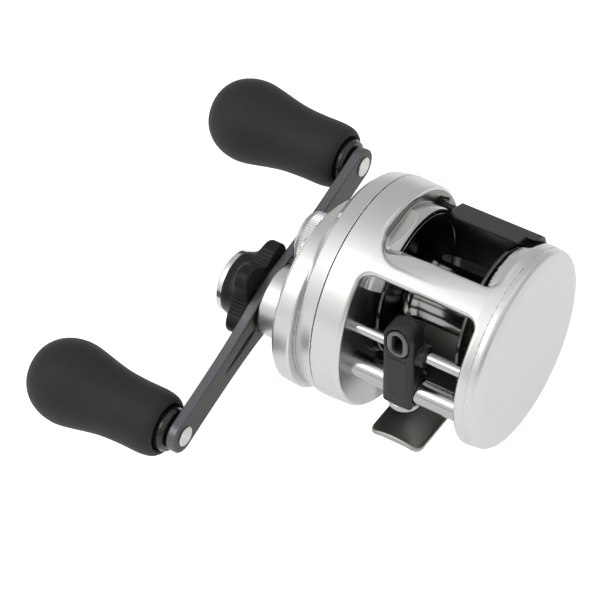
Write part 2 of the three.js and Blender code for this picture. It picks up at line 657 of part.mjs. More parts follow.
function armOutline() {
  const end = 5.0;                      // half widths at the ends, between, and at the hub
  const waist = 4.4;
  const hub = 7.4;
  const shape = new THREE.Shape();
  shape.moveTo(-ARM_HALF, -end);
  for (const side of [1, -1]) {
    const reach = side * ARM_HALF;
    const hubX = side * hub * 1.6;
    const hubY = side * hub * 0.8;
    const from = side * -Math.PI / 2;
    shape.quadraticCurveTo(-reach * 0.5, -side * waist, -hubX, -hubY);
    shape.quadraticCurveTo(0, -side * hub * 1.12, hubX, -hubY);
    shape.quadraticCurveTo(reach * 0.5, -side * waist, reach, -side * end);
    shape.absarc(reach, 0, end, from, from + Math.PI, false);
  }
  return shape;
}

// leaf-shaped opening in one half of the arm
function armLeaf(side) {
  const shape = new THREE.Shape();
  shape.moveTo(side * 9.5, 0);
  shape.quadraticCurveTo(side * 13, 2.1, side * 26, 0.3);
  shape.lineTo(side * 26, -0.3);
  shape.quadraticCurveTo(side * 13, -2.1, side * 9.5, 0);
  return tiltedPlate(shape, ARM_X[0] - 1, ARM_X[1] + 1);
}

const knobPivots = [ARM_HALF, -ARM_HALF].map((reach) => polar(DRIVE, reach, rad(ARM_TILT)));
add('handle_arm', cut(
  tiltedPlate(armOutline(), ...ARM_X),
  disc(3.12, -60, -40, DRIVE, 13),
  armLeaf(1),
  armLeaf(-1),
  ...knobPivots.map((at) => disc(2.0, -60, -40, at, 13)),
), 'armdark', crank);
add('handle_end_cap', turned([
  [0, -63.9], [5.0, -63.6], [7.8, -63.1], [8.8, -62.4],
  [8.8, -60.85], [3.2, -60.85], [3.2, -62.2], [0, -62.2],
], 22, DRIVE), 'polished', crank);

// five-lobed star with a round hub that tapers outboard
function buildStarDrag() {
  const lobes = 5;
  const lobeAngle = rad(50);
  const tipRadius = 14.4;
  const valleyRadius = 9.6;
  const steps = 40;
  const points = [];
  for (let i = 0; i < steps; i++) {
    const angle = (i / steps) * TAU;
    const rise = Math.pow(0.5 + 0.5 * Math.cos(lobes * (angle - lobeAngle)), 0.85);
    points.push(polar(DRIVE, valleyRadius + (tipRadius - valleyRadius) * rise, angle));
  }
  const hub = turned([[0, -60.7], [8.9, -60.7], [9.5, -56.0], [9.5, -54], [0, -54]], 22, DRIVE);
  return cut(join(plate(points, -56.2, -51.8), hub), disc(3.15, -70, -40, DRIVE, 13));
}
add('star_drag_knob', buildStarDrag(), 'black');

// Crank knobs: tall rubber grips on posts through the arm.
// Profiles are [radius, distance outboard of the inner arm face].
const GRIP_OUTSIDE = [
  [6.7, 5.8], [7.9, 5.8], [8.8, 7.2], [9.3, 10.3], [9.3, 16.3],
  [9.6, 22.3], [10.3, 26.8], [11.2, 31.1], [11.9, 34.9], [12.0, 37.8],
  [11.4, 41.2], [9.8, 44.6], [7.1, 47.3], [3.6, 48.6], [0, KNOB_END],
];
const GRIP_BORE = [[0, 42.5], [2.6, 42.5], [2.6, 10.5], [6.7, 10.5], [6.7, 5.8]];
const KNOB_POST = [
  [0, -0.5], [2.6, -0.5], [2.9, -0.15], [1.85, -0.15],
  [1.85, 2.8], [1.75, 2.8], [1.75, 40], [0, 40],
];
const outboard = (distance) => ARM_X[1] - distance;
const knobProfile = (points) => points.map(([radius, s]) => [radius, outboard(s)]);
['a', 'b'].forEach((id, i) => {
  const at = knobPivots[i];
  const grip = turned(knobProfile([...GRIP_OUTSIDE, ...GRIP_BORE]), 18, at);
  add(`knob_grip_${id}`, grip, 'rubber');
  add(`knob_bushing_${id}`, ring(2.0, 6.4, outboard(10.2), outboard(3.3), at, 18), 'black');
  add(`knob_post_${id}`, turned(knobProfile(KNOB_POST), 13, at), 'steel', crank);
});

// fluted cast control knob on its boss
function buildCastKnob() {
  const steps = 28;
  const fluted = Array.from({ length: steps }, (_, i) =>
    polar(SPOOL, i % 2 ? 7.7 : 7.95, (i / steps) * TAU));
  const cap = turned([
    [0, -47.6], [6.8, -47.6], [7.7, -47.0], [7.7, -46.4], [0, -46.4],
  ], 22, SPOOL);
  const body = join(plate(fluted, -46.6, -42.0), cap, disc(7.2, -42.2, -38.6, SPOOL, 22));
  return cut(body, disc(5.85, -43.6, -30, SPOOL, 18), disc(2.2, -45.2, -43, SPOOL, 13));
}
add('cast_control_knob', buildCastKnob(), 'polished');
add('cast_control_washer', disc(1.9, -45.0, -44.2, SPOOL, 13), 'brass');

// ================================================================ thumb bar and clutch cam
// skirt concentric with the spool, behind it, and a pad with a sloping flat top and a front lip
function buildThumbBar() {
  const inside = 21.5;
  const outside = 23.3;
  const spoolPoint = (radius, degrees) => polar(SPOOL, radius, rad(degrees));
  const corner = spoolPoint(outside, 33);
  const skirt = [
    ...[-18, -8, 3, 14, 22, 28, 34, 38].map((degrees) => spoolPoint(inside, degrees)),
    spoolPoint(24.0, 38),
    corner,
    ...[28, 19, 10, 0, -9, -18].map((degrees) => spoolPoint(outside, degrees)),
  ];
  const pad = (radius, endAngle, lip) =>
    [...arc(SPOOL, radius, 33, endAngle, 6), lip, [17.8, 24.2], [19.6, 22.3], corner];
  const bar = join(
    plate(skirt, ...THUMB_BAR_X),
    plate(pad(21.35, 68, [8.86, 27.33]), -9.7, 12.2),
    plate(pad(22.7, 58, [13.0, 25.88]), 12.0, THUMB_BAR_X[1]),
  );
  // [x, y] plan of the clipped front corner of the pad, on the handle side
  const clip = outline([
    [-12, 5], [-5.2, 5], [-5.2, 9.2], [-7.6, 10.6], [-9.7, 15.2], [-12, 15.2],
  ]);
  return cut(bar, alongZ(clip, 19, 14)).add(lugBlock(-27.9, HANDLE_RING_X + 1.0));
}
add('thumb_bar', buildThumbBar(), 'black');
add('clutch_cam', cut(
  plate([
    [12.2, 12.0], [14.6, 9.8], [19.0, 12.4], [22.4, 16.9],
    [19.6, 21.6], [14.6, 21.0], [12.0, 18.2],
  ], -27.5, -26.2),
  lugBlock(-29, -25, 0.2),
), 'steel');

export default reel;
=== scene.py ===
import math

import bpy
import numpy as np
from mathutils import Matrix, Vector


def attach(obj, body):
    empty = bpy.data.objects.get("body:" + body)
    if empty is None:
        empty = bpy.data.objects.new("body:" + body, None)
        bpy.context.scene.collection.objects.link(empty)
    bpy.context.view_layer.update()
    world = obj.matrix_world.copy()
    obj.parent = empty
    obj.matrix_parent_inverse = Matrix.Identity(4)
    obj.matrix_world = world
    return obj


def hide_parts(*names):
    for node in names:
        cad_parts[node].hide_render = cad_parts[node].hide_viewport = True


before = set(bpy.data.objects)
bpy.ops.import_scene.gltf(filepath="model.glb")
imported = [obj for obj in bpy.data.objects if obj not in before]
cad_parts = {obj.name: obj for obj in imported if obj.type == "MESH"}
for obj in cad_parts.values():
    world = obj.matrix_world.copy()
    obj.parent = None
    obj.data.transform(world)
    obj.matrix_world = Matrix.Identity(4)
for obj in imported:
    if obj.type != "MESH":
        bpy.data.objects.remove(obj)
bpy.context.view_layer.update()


def heading(degrees):
    """(cos, sin) of an angle measured from +Y towards +Z."""
    angle = math.radians(degrees)
    return math.cos(angle), math.sin(angle)


# Lengths below are in millimetres from the axis of the round body.
# They become metres when a mesh is made, and SEAT (in metres) then moves that axis
# to its place in the row frame, whose origin is on the foot's seat.
MM = 0.001
SEAT = Vector((0.002, -0.001, 0.0222))

# Centres in (y, z)
SPOOL = (0.9, 6.6)
DRIVE = (-13.25, -5.46)
WORM = (-23.674, -4.2)
ROD = (-23.6, 9.5)
RAISED = (-7.2, -0.9)    # raised cover of the crank-side plate

GUIDE_X = -1.5
ARM_HEADING = heading(17.8)
ARM_THROW = 46.7
ARM_OUTER, ARM_INNER = -51.5, -48.5    # x of the arm's two flats
PIVOT_A, PIVOT_B = [
    tuple(centre + side * ARM_THROW * part for centre, part in zip(DRIVE, ARM_HEADING))
    for side in (1, -1)
]


# ------------------------------------------------------------------ meshes
def new_object(name, points, faces, normals=None):
    """Smooth mesh object from points in mm. faces is an (n, k) array or a list of tuples."""
    mesh = bpy.data.meshes.new(name)
    if isinstance(faces, np.ndarray):
        count, sides = faces.shape
        mesh.vertices.add(len(points))
        mesh.vertices.foreach_set("co", (points * MM).astype(np.float32).ravel())
        mesh.loops.add(count * sides)
        mesh.loops.foreach_set("vertex_index", faces.astype(np.int32).ravel())
        mesh.polygons.add(count)
        starts = np.arange(0, count * sides, sides, dtype=np.int32)
        mesh.polygons.foreach_set("loop_start", starts)
        mesh.polygons.foreach_set("loop_total", np.full(count, sides, dtype=np.int32))
        mesh.update(calc_edges=True)
    else:
        mesh.from_pydata([tuple(float(c) * MM for c in point) for point in points], [], faces)
        mesh.update()
    mesh.validate()
    mesh.polygons.foreach_set("use_smooth", np.ones(len(mesh.polygons), bool))
    if normals is None:
        normals = area_normals(mesh)
    mesh.normals_split_custom_set_from_vertices(normals.tolist())
    made = bpy.data.objects.new(name, mesh)
    bpy.context.scene.collection.objects.link(made)
    made.location = SEAT
    return made


def area_normals(mesh):
    """Vertex normals weighted by the area of the faces around each vertex."""
    face_count = len(mesh.polygons)
    corner_vertex = np.zeros(len(mesh.loops), np.int32)
    mesh.loops.foreach_get("vertex_index", corner_vertex)
    sides = np.zeros(face_count, np.int32)
    mesh.polygons.foreach_get("loop_total", sides)
    face_normal = np.zeros(face_count * 3)
    mesh.polygons.foreach_get("normal", face_normal)
    area = np.zeros(face_count)
    mesh.polygons.foreach_get("area", area)
    weights = np.repeat(face_normal.reshape(-1, 3) * area[:, None], sides, axis=0)
    total = np.zeros((len(mesh.vertices), 3))
    for k in range(3):
        total[:, k] = np.bincount(corner_vertex, weights=weights[:, k], minlength=len(total))
    total[np.linalg.norm(total, axis=1) < 1e-20] = (0, 0, 1)
    return total / np.maximum(np.linalg.norm(total, axis=1), 1e-20)[:, None]


def volume_sign(points, faces):
    """Positive if the faces point out."""
    points = np.asarray(points, float)
    total = 0.0
    for face in faces:
        first = points[face[0]]
        for i in range(1, len(face) - 1):
            total += float(np.dot(first, np.cross(points[face[i]], points[face[i + 1]])))
    return total


def bezier(t, start, control, end):
    """Point on a quadratic curve."""
    return (1 - t) ** 2 * start + 2 * t * (1 - t) * control + t ** 2 * end


def fillet(profile, steps=5):
    """Profile of (r, x) or (r, x, radius): corners with a radius become arcs."""
    rounded = []
    for i, entry in enumerate(profile):
        if len(entry) < 3:
            rounded.append(entry)
            continue
        before = np.array(profile[i - 1][:2], float)
        corner = np.array(entry[:2], float)
        after = np.array(profile[i + 1][:2], float)
        back, ahead = before - corner, after - corner
        back_length, ahead_length = np.linalg.norm(back), np.linalg.norm(ahead)
        back, ahead = back / back_length, ahead / ahead_length
        angle = math.acos(max(-1, min(1, float(back @ ahead))))
        trim = min(entry[2] / math.tan(angle / 2), back_length * 0.49, ahead_length * 0.49)
        start, end = corner + back * trim, corner + ahead * trim
        control = corner * 0.86 + (start + end) / 2 * 0.14
        for k in range(steps + 1):
            point = bezier(k / steps, start, control, end)
            rounded.append((float(point[0]), float(point[1])))
    return rounded


def smooth_curve(points, steps):
    """Catmull-Rom curve through (r, x) points."""
    knots = [np.array(point, float) for point in points]
    knots = [2 * knots[0] - knots[1]] + knots + [2 * knots[-1] - knots[-2]]
    curve = []
    for before, start, end, after in zip(knots, knots[1:], knots[2:], knots[3:]):
        for k in range(steps):
            t = k / steps
            point = 0.5 * ((2 * start) + (end - before) * t
                           + (2 * before - 5 * start + 4 * end - after) * t * t
                           + (-before + 3 * start - 3 * end + after) * t ** 3)
            curve.append((max(0.0, float(point[0])), float(point[1])))
    curve.append((float(knots[-2][0]), float(knots[-2][1])))
    return curve


def lathe(name, profile, centre, segments, closed=False, radius=None):
    """Mesh turned about an axis parallel to X from (r, x) points.

    closed joins the last profile point to the first. radius(i, angles) replaces the
    constant radius of profile point i.
    """
    angles = np.arange(segments) / segments * 2 * math.pi
    rings, points, faces = [], [], []
    for i, (r, x) in enumerate(profile):
        start = len(points)
        if r < 1e-6:
            rings.append([start])
            points.append((x, centre[0], centre[1]))
            continue
        reaches = radius(i, angles) if radius else np.full(segments, r)
        for angle, reach in zip(angles, reaches):
            points.append((x, centre[0] + reach * math.cos(angle),
                           centre[1] + reach * math.sin(angle)))
        rings.append(list(range(start, start + segments)))
    count = len(profile)
    for i in range(count if closed else count - 1):
        here, there = rings[i], rings[(i + 1) % count]
        for k in range(segments):
            k2 = (k + 1) % segments
            if len(here) == 1:
                faces.append((here[0], there[k2], there[k]))
            elif len(there) == 1:
                faces.append((here[k], here[k2], there[0]))
            else:
                faces.append((here[k], here[k2], there[k2], there[k]))
    if volume_sign(points, faces) < 0:
        faces = [tuple(reversed(face)) for face in faces]
    return new_object(name, points, faces)


# ------------------------------------------------------------------ distance functions
# Distances are negative inside. Each is given on arrays of coordinates.
def meet(a, b, radius):
    """Intersection whose edge is rounded."""
    outside = np.hypot(np.maximum(a + radius, 0), np.maximum(b + radius, 0))
    return np.minimum(np.maximum(a, b), -radius) + outside


def join(a, b, radius):
    """Union whose inner corner has a fillet."""
    inside = np.hypot(np.maximum(radius - a, 0), np.maximum(radius - b, 0))
    return np.maximum(np.minimum(a, b), radius) - inside


def cut(a, b, radius):
    """a without b, with a rounded edge."""
    return meet(a, -b, radius)


def slab(value, low, high):
    return np.maximum(low - value, value - high)


def reach(y, z, centre):
    """Distance from an axis parallel to X."""
    return np.hypot(y - centre[0], z - centre[1])


def turned(y, z, direction):
    """Coordinates along a (cos, sin) direction and a quarter turn on from it."""
    cosine, sine = direction
    return y * cosine + z * sine, -y * sine + z * cosine


def wedge(y, z, start, end, centre=(0.0, 0.0)):
    """Wedge between two angles about a centre, in degrees from +Y towards +Z."""
    y, z = y - centre[0], z - centre[1]
    cos_start, sin_start = heading(start)
    cos_end, sin_end = heading(end)
    return np.maximum(y * sin_start - z * cos_start, -y * sin_end + z * cos_end)


def polygon(u, v, corners):
    """Exact distance to a simple polygon."""
    squared = np.full(u.shape, 1e9)
    sign = np.ones(u.shape)
    for i, (start_u, start_v) in enumerate(corners):
        end_u, end_v = corners[(i + 1) % len(corners)]
        edge_u, edge_v = end_u - start_u, end_v - start_v
        from_u, from_v = u - start_u, v - start_v
        t = (from_u * edge_u + from_v * edge_v) / (edge_u * edge_u + edge_v * edge_v)
        t = np.clip(t, 0, 1)
        squared = np.minimum(squared, (from_u - edge_u * t) ** 2 + (from_v - edge_v * t) ** 2)
        above, below, left = v >= start_v, v < end_v, edge_u * from_v > edge_v * from_u
        crossed = (above & below & left) | (~above & ~below & ~left)
        sign = np.where(crossed, -sign, sign)
    return sign * np.sqrt(squared)


def box(u, v, mid_u, mid_v, half_u, half_v, radius):
    """Rectangle with rounded corners."""
    over_u = np.abs(u - mid_u) - half_u + radius
    over_v = np.abs(v - mid_v) - half_v + radius
    outside = np.hypot(np.maximum(over_u, 0), np.maximum(over_v, 0))
    return outside + np.minimum(np.maximum(over_u, over_v), 0) - radius


def stadium(u, v, mid_u, mid_v, half_width, half_height):
    """Upright stadium."""
    over = np.maximum(np.abs(v - mid_v) - (half_height - half_width), 0)
    return np.hypot(u - mid_u, over) - half_width


# ------------------------------------------------------------------ solids from distances
BLOCK = 10    # grid cells along the side of a block that is sampled together
BATCH = 600   # blocks sampled at a time
CORNERS = [(0, 0, 0), (1, 0, 0), (0, 1, 0), (1, 1, 0), (0, 0, 1), (1, 0, 1), (0, 1, 1), (1, 1, 1)]


def sample(shape, low, cell, size, slack):
    """Field on the grid: exact in blocks near the surface, only its sign elsewhere."""
    centres = [low[i] + cell * BLOCK * (np.arange((size[i] - 1) // BLOCK) + 0.5)
               for i in range(3)]
    coarse = shape(*np.meshgrid(*centres, indexing="ij"))
    half_diagonal = cell * BLOCK * 0.8661 * slack + cell
    fill = np.where(coarse < 0, -1.0, 1.0)
    for axis in range(3):
        fill = np.repeat(fill, BLOCK, axis)
    field = np.ones(tuple(size), np.float32)
    field[:-1, :-1, :-1] = fill
    step = np.arange(BLOCK + 1)
    offsets = [grid.ravel() for grid in np.meshgrid(step, step, step, indexing="ij")]
    near = np.argwhere(np.abs(coarse) < half_diagonal)
    for start in range(0, len(near), BATCH):
        batch = near[start:start + BATCH]
        index = [(batch[:, k:k + 1] * BLOCK + offsets[k][None]).ravel() for k in range(3)]
        field[tuple(index)] = shape(*[low[k] + cell * index[k] for k in range(3)])
    return field


def surface_net(field, low, cell):
    """One vertex in each cell the surface crosses, and a quad over each crossed edge."""
    inside = field < 0
    size = field.shape
    count = np.zeros(tuple(n - 1 for n in size), np.uint8)
    for dx, dy, dz in CORNERS:
        count += inside[dx:size[0] - 1 + dx, dy:size[1] - 1 + dy, dz:size[2] - 1 + dz]
    crossed = (count > 0) & (count < 8)
    cells = np.argwhere(crossed)
    ids = np.full(crossed.shape, -1, np.int32)
    ids[crossed] = np.arange(len(cells))

    total = np.zeros((len(cells), 3))
    hits = np.zeros(len(cells))
    for start in CORNERS:
        for end in CORNERS:
            if sum(abs(p - q) for p, q in zip(start, end)) != 1 or start > end:
                continue
            first = field[tuple((cells + start).T)].astype(float)
            second = field[tuple((cells + end).T)].astype(float)
            changes = (first < 0) != (second < 0)
            t = np.where(changes, first / np.where(changes, first - second, 1), 0)
            start_at, end_at = np.array(start, float), np.array(end, float)
            point = start_at[None] + t[:, None] * (end_at - start_at)[None]
            total[changes] += point[changes]
            hits[changes] += 1
    points = low + cell * (cells + total / np.maximum(hits, 1)[:, None])

    quads = []
    for axis, (u, v) in enumerate([(1, 2), (2, 0), (0, 1)]):
        lower, upper = [slice(None)] * 3, [slice(None)] * 3
        lower[axis], upper[axis] = slice(0, -1), slice(1, None)
        first, second = inside[tuple(lower)], inside[tuple(upper)]
        edges = np.argwhere(first != second)
        inside_first = first[tuple(edges.T)]
        inner = (edges[:, u] > 0) & (edges[:, v] > 0)
        inner &= (edges[:, u] < size[u] - 1) & (edges[:, v] < size[v] - 1)
        edges, inside_first = edges[inner], inside_first[inner]
        ring = []
        for du, dv in ((-1, -1), (0, -1), (0, 0), (-1, 0)):
            around = edges.copy()
            around[:, u] += du
            around[:, v] += dv
            ring.append(ids[tuple(around.T)])
        ring = np.stack(ring, 1)
        ring[~inside_first] = ring[~inside_first][:, ::-1]
        quads.append(ring)
    quads = np.concatenate(quads)
    return points, quads[(quads >= 0).all(1)]


def gradient(shape, points, step=0.015):
    slope = np.zeros_like(points)
    for k in range(3):
        ahead, behind = points.copy(), points.copy()
        ahead[:, k] += step
        behind[:, k] -= step
        slope[:, k] = (shape(*ahead.T) - shape(*behind.T)) / (2 * step)
    return slope


def unit_gradient(shape, points, step=0.015):
    slope = gradient(shape, points, step)
    return slope / np.maximum(np.linalg.norm(slope, axis=1), 1e-9)[:, None]


def project(shape, points, cell, times):
    """Moves points onto the surface, by at most half a cell each time."""
    for _ in range(times):
        slope = gradient(shape, points)
        squared = np.maximum((slope * slope).sum(1), 0.2)
        move = (shape(*points.T) / squared)[:, None] * slope
        length = np.linalg.norm(move, axis=1)
        move *= (np.minimum(length, 0.5 * cell) / np.maximum(length, 1e-12))[:, None]
        points = points - move
    return points


def solid(name, shape, low, high, cell, relax=2, slack=1.2):
    """Surface of shape < 0 within two corners, evened out by relax rounds."""
    low = np.array(low, float) - 2.3 * cell
    high = np.array(high, float) + 2.3 * cell
    size = np.ceil((high - low) / cell / BLOCK).astype(int) * BLOCK + 1
    points, quads = surface_net(sample(shape, low, cell, size, slack), low, cell)
    points = project(shape, points, cell, 3)
    starts = quads.T.ravel()
    ends = np.roll(quads, -1, axis=1).T.ravel()
    count = len(points)
    degree = np.bincount(starts, minlength=count) + np.bincount(ends, minlength=count)
    for _ in range(relax):
        average = np.zeros_like(points)
        for k in range(3):
            average[:, k] = (np.bincount(starts, weights=points[ends, k], minlength=count)
                             + np.bincount(ends, weights=points[starts, k], minlength=count))
        average /= np.maximum(degree, 1)[:, None]
        normal = unit_gradient(shape, points)
        move = average - points
        move -= (move * normal).sum(1)[:, None] * normal
        points = project(shape, points + 0.6 * move, cell, 1)
    points = project(shape, points, cell, 2)
    return new_object(name, points, quads, unit_gradient(shape, points, 0.03))


# ------------------------------------------------------------------ shader graphs
class Graph:
    """Short ways to add nodes to a shader tree."""

    def __init__(self, tree):
        self.tree = tree

    def node(self, kind, **props):
        made = self.tree.nodes.new(kind)
        for key, value in props.items():
            setattr(made, key, value)
        return made

    def put(self, socket, value):
        """Links a socket, or sets a plain value."""
        if hasattr(value, "links"):
            self.tree.links.new(value, socket)
        else:
            socket.default_value = value

    def math(self, operation, first, second=None, clamp=False):
        made = self.node("ShaderNodeMath", operation=operation, use_clamp=clamp)
        self.put(made.inputs[0], first)
        if second is not None:
            self.put(made.inputs[1], second)
        return made.outputs[0]

    def add(self, first, second, clamp=False):
        return self.math("ADD", first, second, clamp)

    def sub(self, first, second):
        return self.math("SUBTRACT", first, second)

    def mul(self, first, second):
        return self.math("MULTIPLY", first, second)

    def step(self, value, zero_at, one_at):
        """0 at zero_at, 1 at one_at, smooth between them."""
        made = self.node("ShaderNodeMapRange", interpolation_type="SMOOTHSTEP")
        self.put(made.inputs["Value"], value)
        made.inputs["From Min"].default_value = zero_at
        made.inputs["From Max"].default_value = one_at
        return made.outputs["Result"]


class Shader(Graph):
    """A new material and the nodes that feed its Principled BSDF."""

    def __init__(self, name):
        self.material = bpy.data.materials.new(name)
        self.material.use_nodes = True
        super().__init__(self.material.node_tree)
        self.surface = self.tree.nodes["Principled BSDF"]
        self.coords = self.node("ShaderNodeTexCoord").outputs["Object"]

    def set(self, **inputs):
        for key, value in inputs.items():
            self.put(self.surface.inputs[key.replace("_", " ")], value)

    def linked(self, name):
        """Socket that now feeds an input of the surface."""
        return self.surface.inputs[name].links[0].from_socket

    def split(self, vector):
        made = self.node("ShaderNodeSeparateXYZ")
        self.put(made.inputs[0], vector)
        return made.outputs

    def hypot(self, y, z):
        return self.math("SQRT", self.add(self.mul(y, y), self.mul(z, z)))

    def noise(self, scale, detail, rough=0.5, vector=None):
        made = self.node("ShaderNodeTexNoise")
        self.put(made.inputs["Vector"], vector or self.coords)
        made.inputs["Scale"].default_value = scale
        made.inputs["Detail"].default_value = detail
        made.inputs["Roughness"].default_value = rough
        return made.outputs["Fac"]

    def turning_marks(self, x, radius, scale):
        """Noise that is constant round an axis, from coordinates in metres."""
        made = self.node("ShaderNodeCombineXYZ")
        self.put(made.inputs[0], x)
        self.put(made.inputs[1], radius)
        return self.noise(scale, 3.0, 0.7, made.outputs[0])

    def mix(self, factor, first, second):
        """Mix of two colours."""
        made = self.node("ShaderNodeMix", data_type="RGBA")
        self.put(made.inputs[0], factor)
        for socket, value in ((made.inputs[6], first), (made.inputs[7], second)):
            self.put(socket, value if hasattr(value, "links") else (*value, 1.0))
        return made.outputs[2]

    def mix_value(self, factor, first, second):
        made = self.node("ShaderNodeMix", data_type="FLOAT")
        for index, value in ((0, factor), (2, first), (3, second)):
            self.put(made.inputs[index], value)
        return made.outputs[0]

    def bump(self, height, distance):
        made = self.node("ShaderNodeBump")
        made.inputs["Strength"].default_value = 1.0
        made.inputs["Distance"].default_value = distance
        self.put(made.inputs["Height"], height)
        return made.outputs["Normal"]

    def edge(self):
        """1 on convex edges."""
        geometry = self.node("ShaderNodeNewGeometry")
        return self.step(geometry.outputs["Pointiness"], 0.505, 0.56)

    def normal_x(self):
        """X of the surface normal in the object's own axes."""
        made = self.node("ShaderNodeVectorTransform", vector_type="NORMAL",
                         convert_from="WORLD", convert_to="OBJECT")
        self.put(made.inputs[0], self.node("ShaderNodeNewGeometry").outputs["Normal"])
        return self.split(made.outputs[0])[0]


# ------------------------------------------------------------------ materials
# vary: light and dark spread of the colour; smudge: spread of the roughness;
# wear, wear_to: strength and colour of rubbed edges; grain_depth: bump height in metres.
def metal(name, base, rough, vary=0.06, grain_depth=1.2e-6, wear=0.35,
          wear_to=(0.93, 0.93, 0.92), metallic=1.0, axis=None, smudge=0.05):
    """Metal with a fine grain and uneven gloss. axis = the (y, z) axis it was turned about."""
    shade = Shader(name)
    clouds = shade.noise(62.0, 4.0, 0.55)
    grain = shade.noise(5200.0, 2.0, 0.6)
    dark = tuple(c * (1 - vary) for c in base)
    light = tuple(min(1.0, c * (1 + vary)) for c in base)
    colour = shade.mix(clouds, dark, light)
    colour = shade.mix(shade.mul(shade.edge(), wear), colour, wear_to)
    patches = shade.noise(140.0, 5.0, 0.65)
    gloss = shade.add(rough - smudge / 2, shade.mul(patches, smudge))
    gloss = shade.add(gloss, shade.mul(shade.sub(grain, 0.5), 0.05), clamp=True)
    height = grain
    if axis:
        x, y, z = shade.split(shade.coords)
        radius = shade.hypot(shade.sub(y, axis[0] * MM), shade.sub(z, axis[1] * MM))
        marks = shade.turning_marks(x, radius, 2600.0)
        height = shade.add(shade.mul(grain, 0.35), shade.mul(marks, 1.0))
        gloss = shade.add(gloss, shade.mul(shade.sub(marks, 0.5), 0.06), clamp=True)
    shade.set(Base_Color=colour, Metallic=metallic, Roughness=gloss,
              Normal=shade.bump(height, grain_depth))
    return shade


def plastic(name, base, rough, vary=0.12, grain=3800.0, grain_depth=6e-6, specular=0.45,
            wear=0.25, coat=0.0):
    """Plastic or rubber with a fine skin texture, uneven gloss and rubbed edges."""
    smudge = 0.08
    shade = Shader(name)
    clouds = shade.noise(70.0, 4.0, 0.6)
    skin = shade.noise(grain, 3.0, 0.55)
    dark = tuple(c * (1 - vary) for c in base)
    light = tuple(c * (1 + vary) for c in base)
    rubbed = tuple(min(1, c * 2.2 + 0.01) for c in base)
    colour = shade.mix(clouds, dark, light)
    colour = shade.mix(shade.mul(shade.edge(), wear), colour, rubbed)
    patches = shade.noise(160.0, 5.0, 0.6)
    gloss = shade.add(rough - smudge / 2, shade.mul(patches, smudge), clamp=True)
    shade.set(Base_Color=colour, Metallic=0.0, Roughness=gloss,
              Normal=shade.bump(skin, grain_depth), Specular_IOR_Level=specular)
    if coat:
        shade.set(Coat_Weight=coat, Coat_Roughness=0.12)
    return shade


SATIN = dict(base=(0.665, 0.66, 0.652), vary=0.03, wear=0.18, wear_to=(0.82, 0.82, 0.815))


def frame_metal():
    """Satin outside, turned inner walls with painted shade (darkest at the rear), satin surround
    of the spool flange.
    """
    shade = metal("satin_aluminium", rough=0.33, **SATIN)
    mul, step = shade.mul, shade.step
    base, rough = shade.linked("Base Color"), shade.linked("Roughness")
    x, y, z = [mul(part, 1000.0) for part in shade.split(shade.coords)]

    # deeper than the frame's tapered skin, between the end recesses
    skin = shade.sub(30.11, mul(x, 0.0923))
    inside = step(shade.sub(skin, shade.hypot(y, z)), 1.75, 1.95)
    inside = mul(inside, mul(step(x, -19.1, -19.0), step(x, 17.1, 17.0)))
    # face of the crank-side wall that looks along +X, coloured darker as painted shade
    wall = mul(step(shade.normal_x(), 0.9, 0.97),
               mul(step(x, -17.6, -17.4), step(x, -16.9, -17.1)))
    # painted shade: the inner walls and that wall face are coloured dark
    dark = shade.math("MAXIMUM", inside, wall)
    # surround of the spool flange
    spool_r = shade.hypot(shade.sub(y, SPOOL[0]), shade.sub(z, SPOOL[1]))
    ledge = mul(step(x, -17.12, -17.0), mul(step(spool_r, 23.75, 23.6), step(x, -11.0, -11.5)))
    ledge = mul(ledge, step(spool_r, 20.6, 20.72))

    marks = shade.turning_marks(mul(x, 0.001), mul(spool_r, 0.001), 2100.0)
    # painted shade inside: darkest at the rear, in the thumb bar's shadow, lighter at the front
    front = step(y, -11.0, -14.0)
    rear_shade_colour = shade.mix(marks, (0.2, 0.2, 0.187), (0.27, 0.268, 0.25))
    front_shade_colour = shade.mix(marks, (0.42, 0.42, 0.41), (0.56, 0.56, 0.55))
    ledge_colour = shade.mix(marks, (0.52, 0.52, 0.51), (0.62, 0.62, 0.61))
    colour = shade.mix(dark, base, shade.mix(front, rear_shade_colour, front_shade_colour))
    colour = shade.mix(ledge, colour, ledge_colour)

    gloss = shade.mix_value(dark, rough, shade.add(0.13, mul(marks, 0.06)))
    gloss = shade.mix_value(mul(dark, step(y, -10.0, -8.0)), gloss, 0.3)
    gloss = shade.mix_value(mul(dark, front), gloss, 0.34)
    gloss = shade.mix_value(ledge, gloss, 0.26)
    shade.set(Base_Color=colour, Roughness=gloss)
    return shade


def spool_metal():
    """Dark anodised flanges; the turned arbor is coloured brighter as a painted reflection."""
    shade = metal("dark_anodised", (0.07, 0.069, 0.066), 0.16, wear=0.7,
                  wear_to=(0.42, 0.42, 0.41), axis=SPOOL, grain_depth=6e-7)
    base = shade.linked("Base Color")
    _, y, z = shade.split(shade.coords)
    spool_r = shade.hypot(shade.sub(shade.mul(y, 1000.0), SPOOL[0]),
                          shade.sub(shade.mul(z, 1000.0), SPOOL[1]))
    # painted reflection: the arbor's colour is lightened to stand in for the light it reflects
    arbor_reflection_mask = shade.step(spool_r, 11.2, 9.4)
    shade.set(Base_Color=shade.mix(arbor_reflection_mask, base, (0.36, 0.36, 0.35)))
    return shade


def arm_metal():
    """Dark anodised crank arm; its narrow side faces are coloured brighter as a painted
    highlight, and its edges are lightened as wear and as painted highlight.
    """
    # the strong edge wear also serves as a painted highlight on the bevels
    shade = metal("dark_grey_alloy", (0.052, 0.051, 0.049), 0.36, wear=0.6,
                  wear_to=(0.2, 0.2, 0.215), metallic=0.8, grain_depth=2e-6)
    base = shade.linked("Base Color")
    # painted highlight: side faces are coloured brighter than the flats
    side = shade.step(shade.math("ABSOLUTE", shade.normal_x()), 0.86, 0.7)
    shade.set(Base_Color=shade.mix(side, base, (0.125, 0.125, 0.137)))
    return shade


POLISHED = dict(vary=0.03, wear=0.1, grain_depth=4e-7, smudge=0.04)

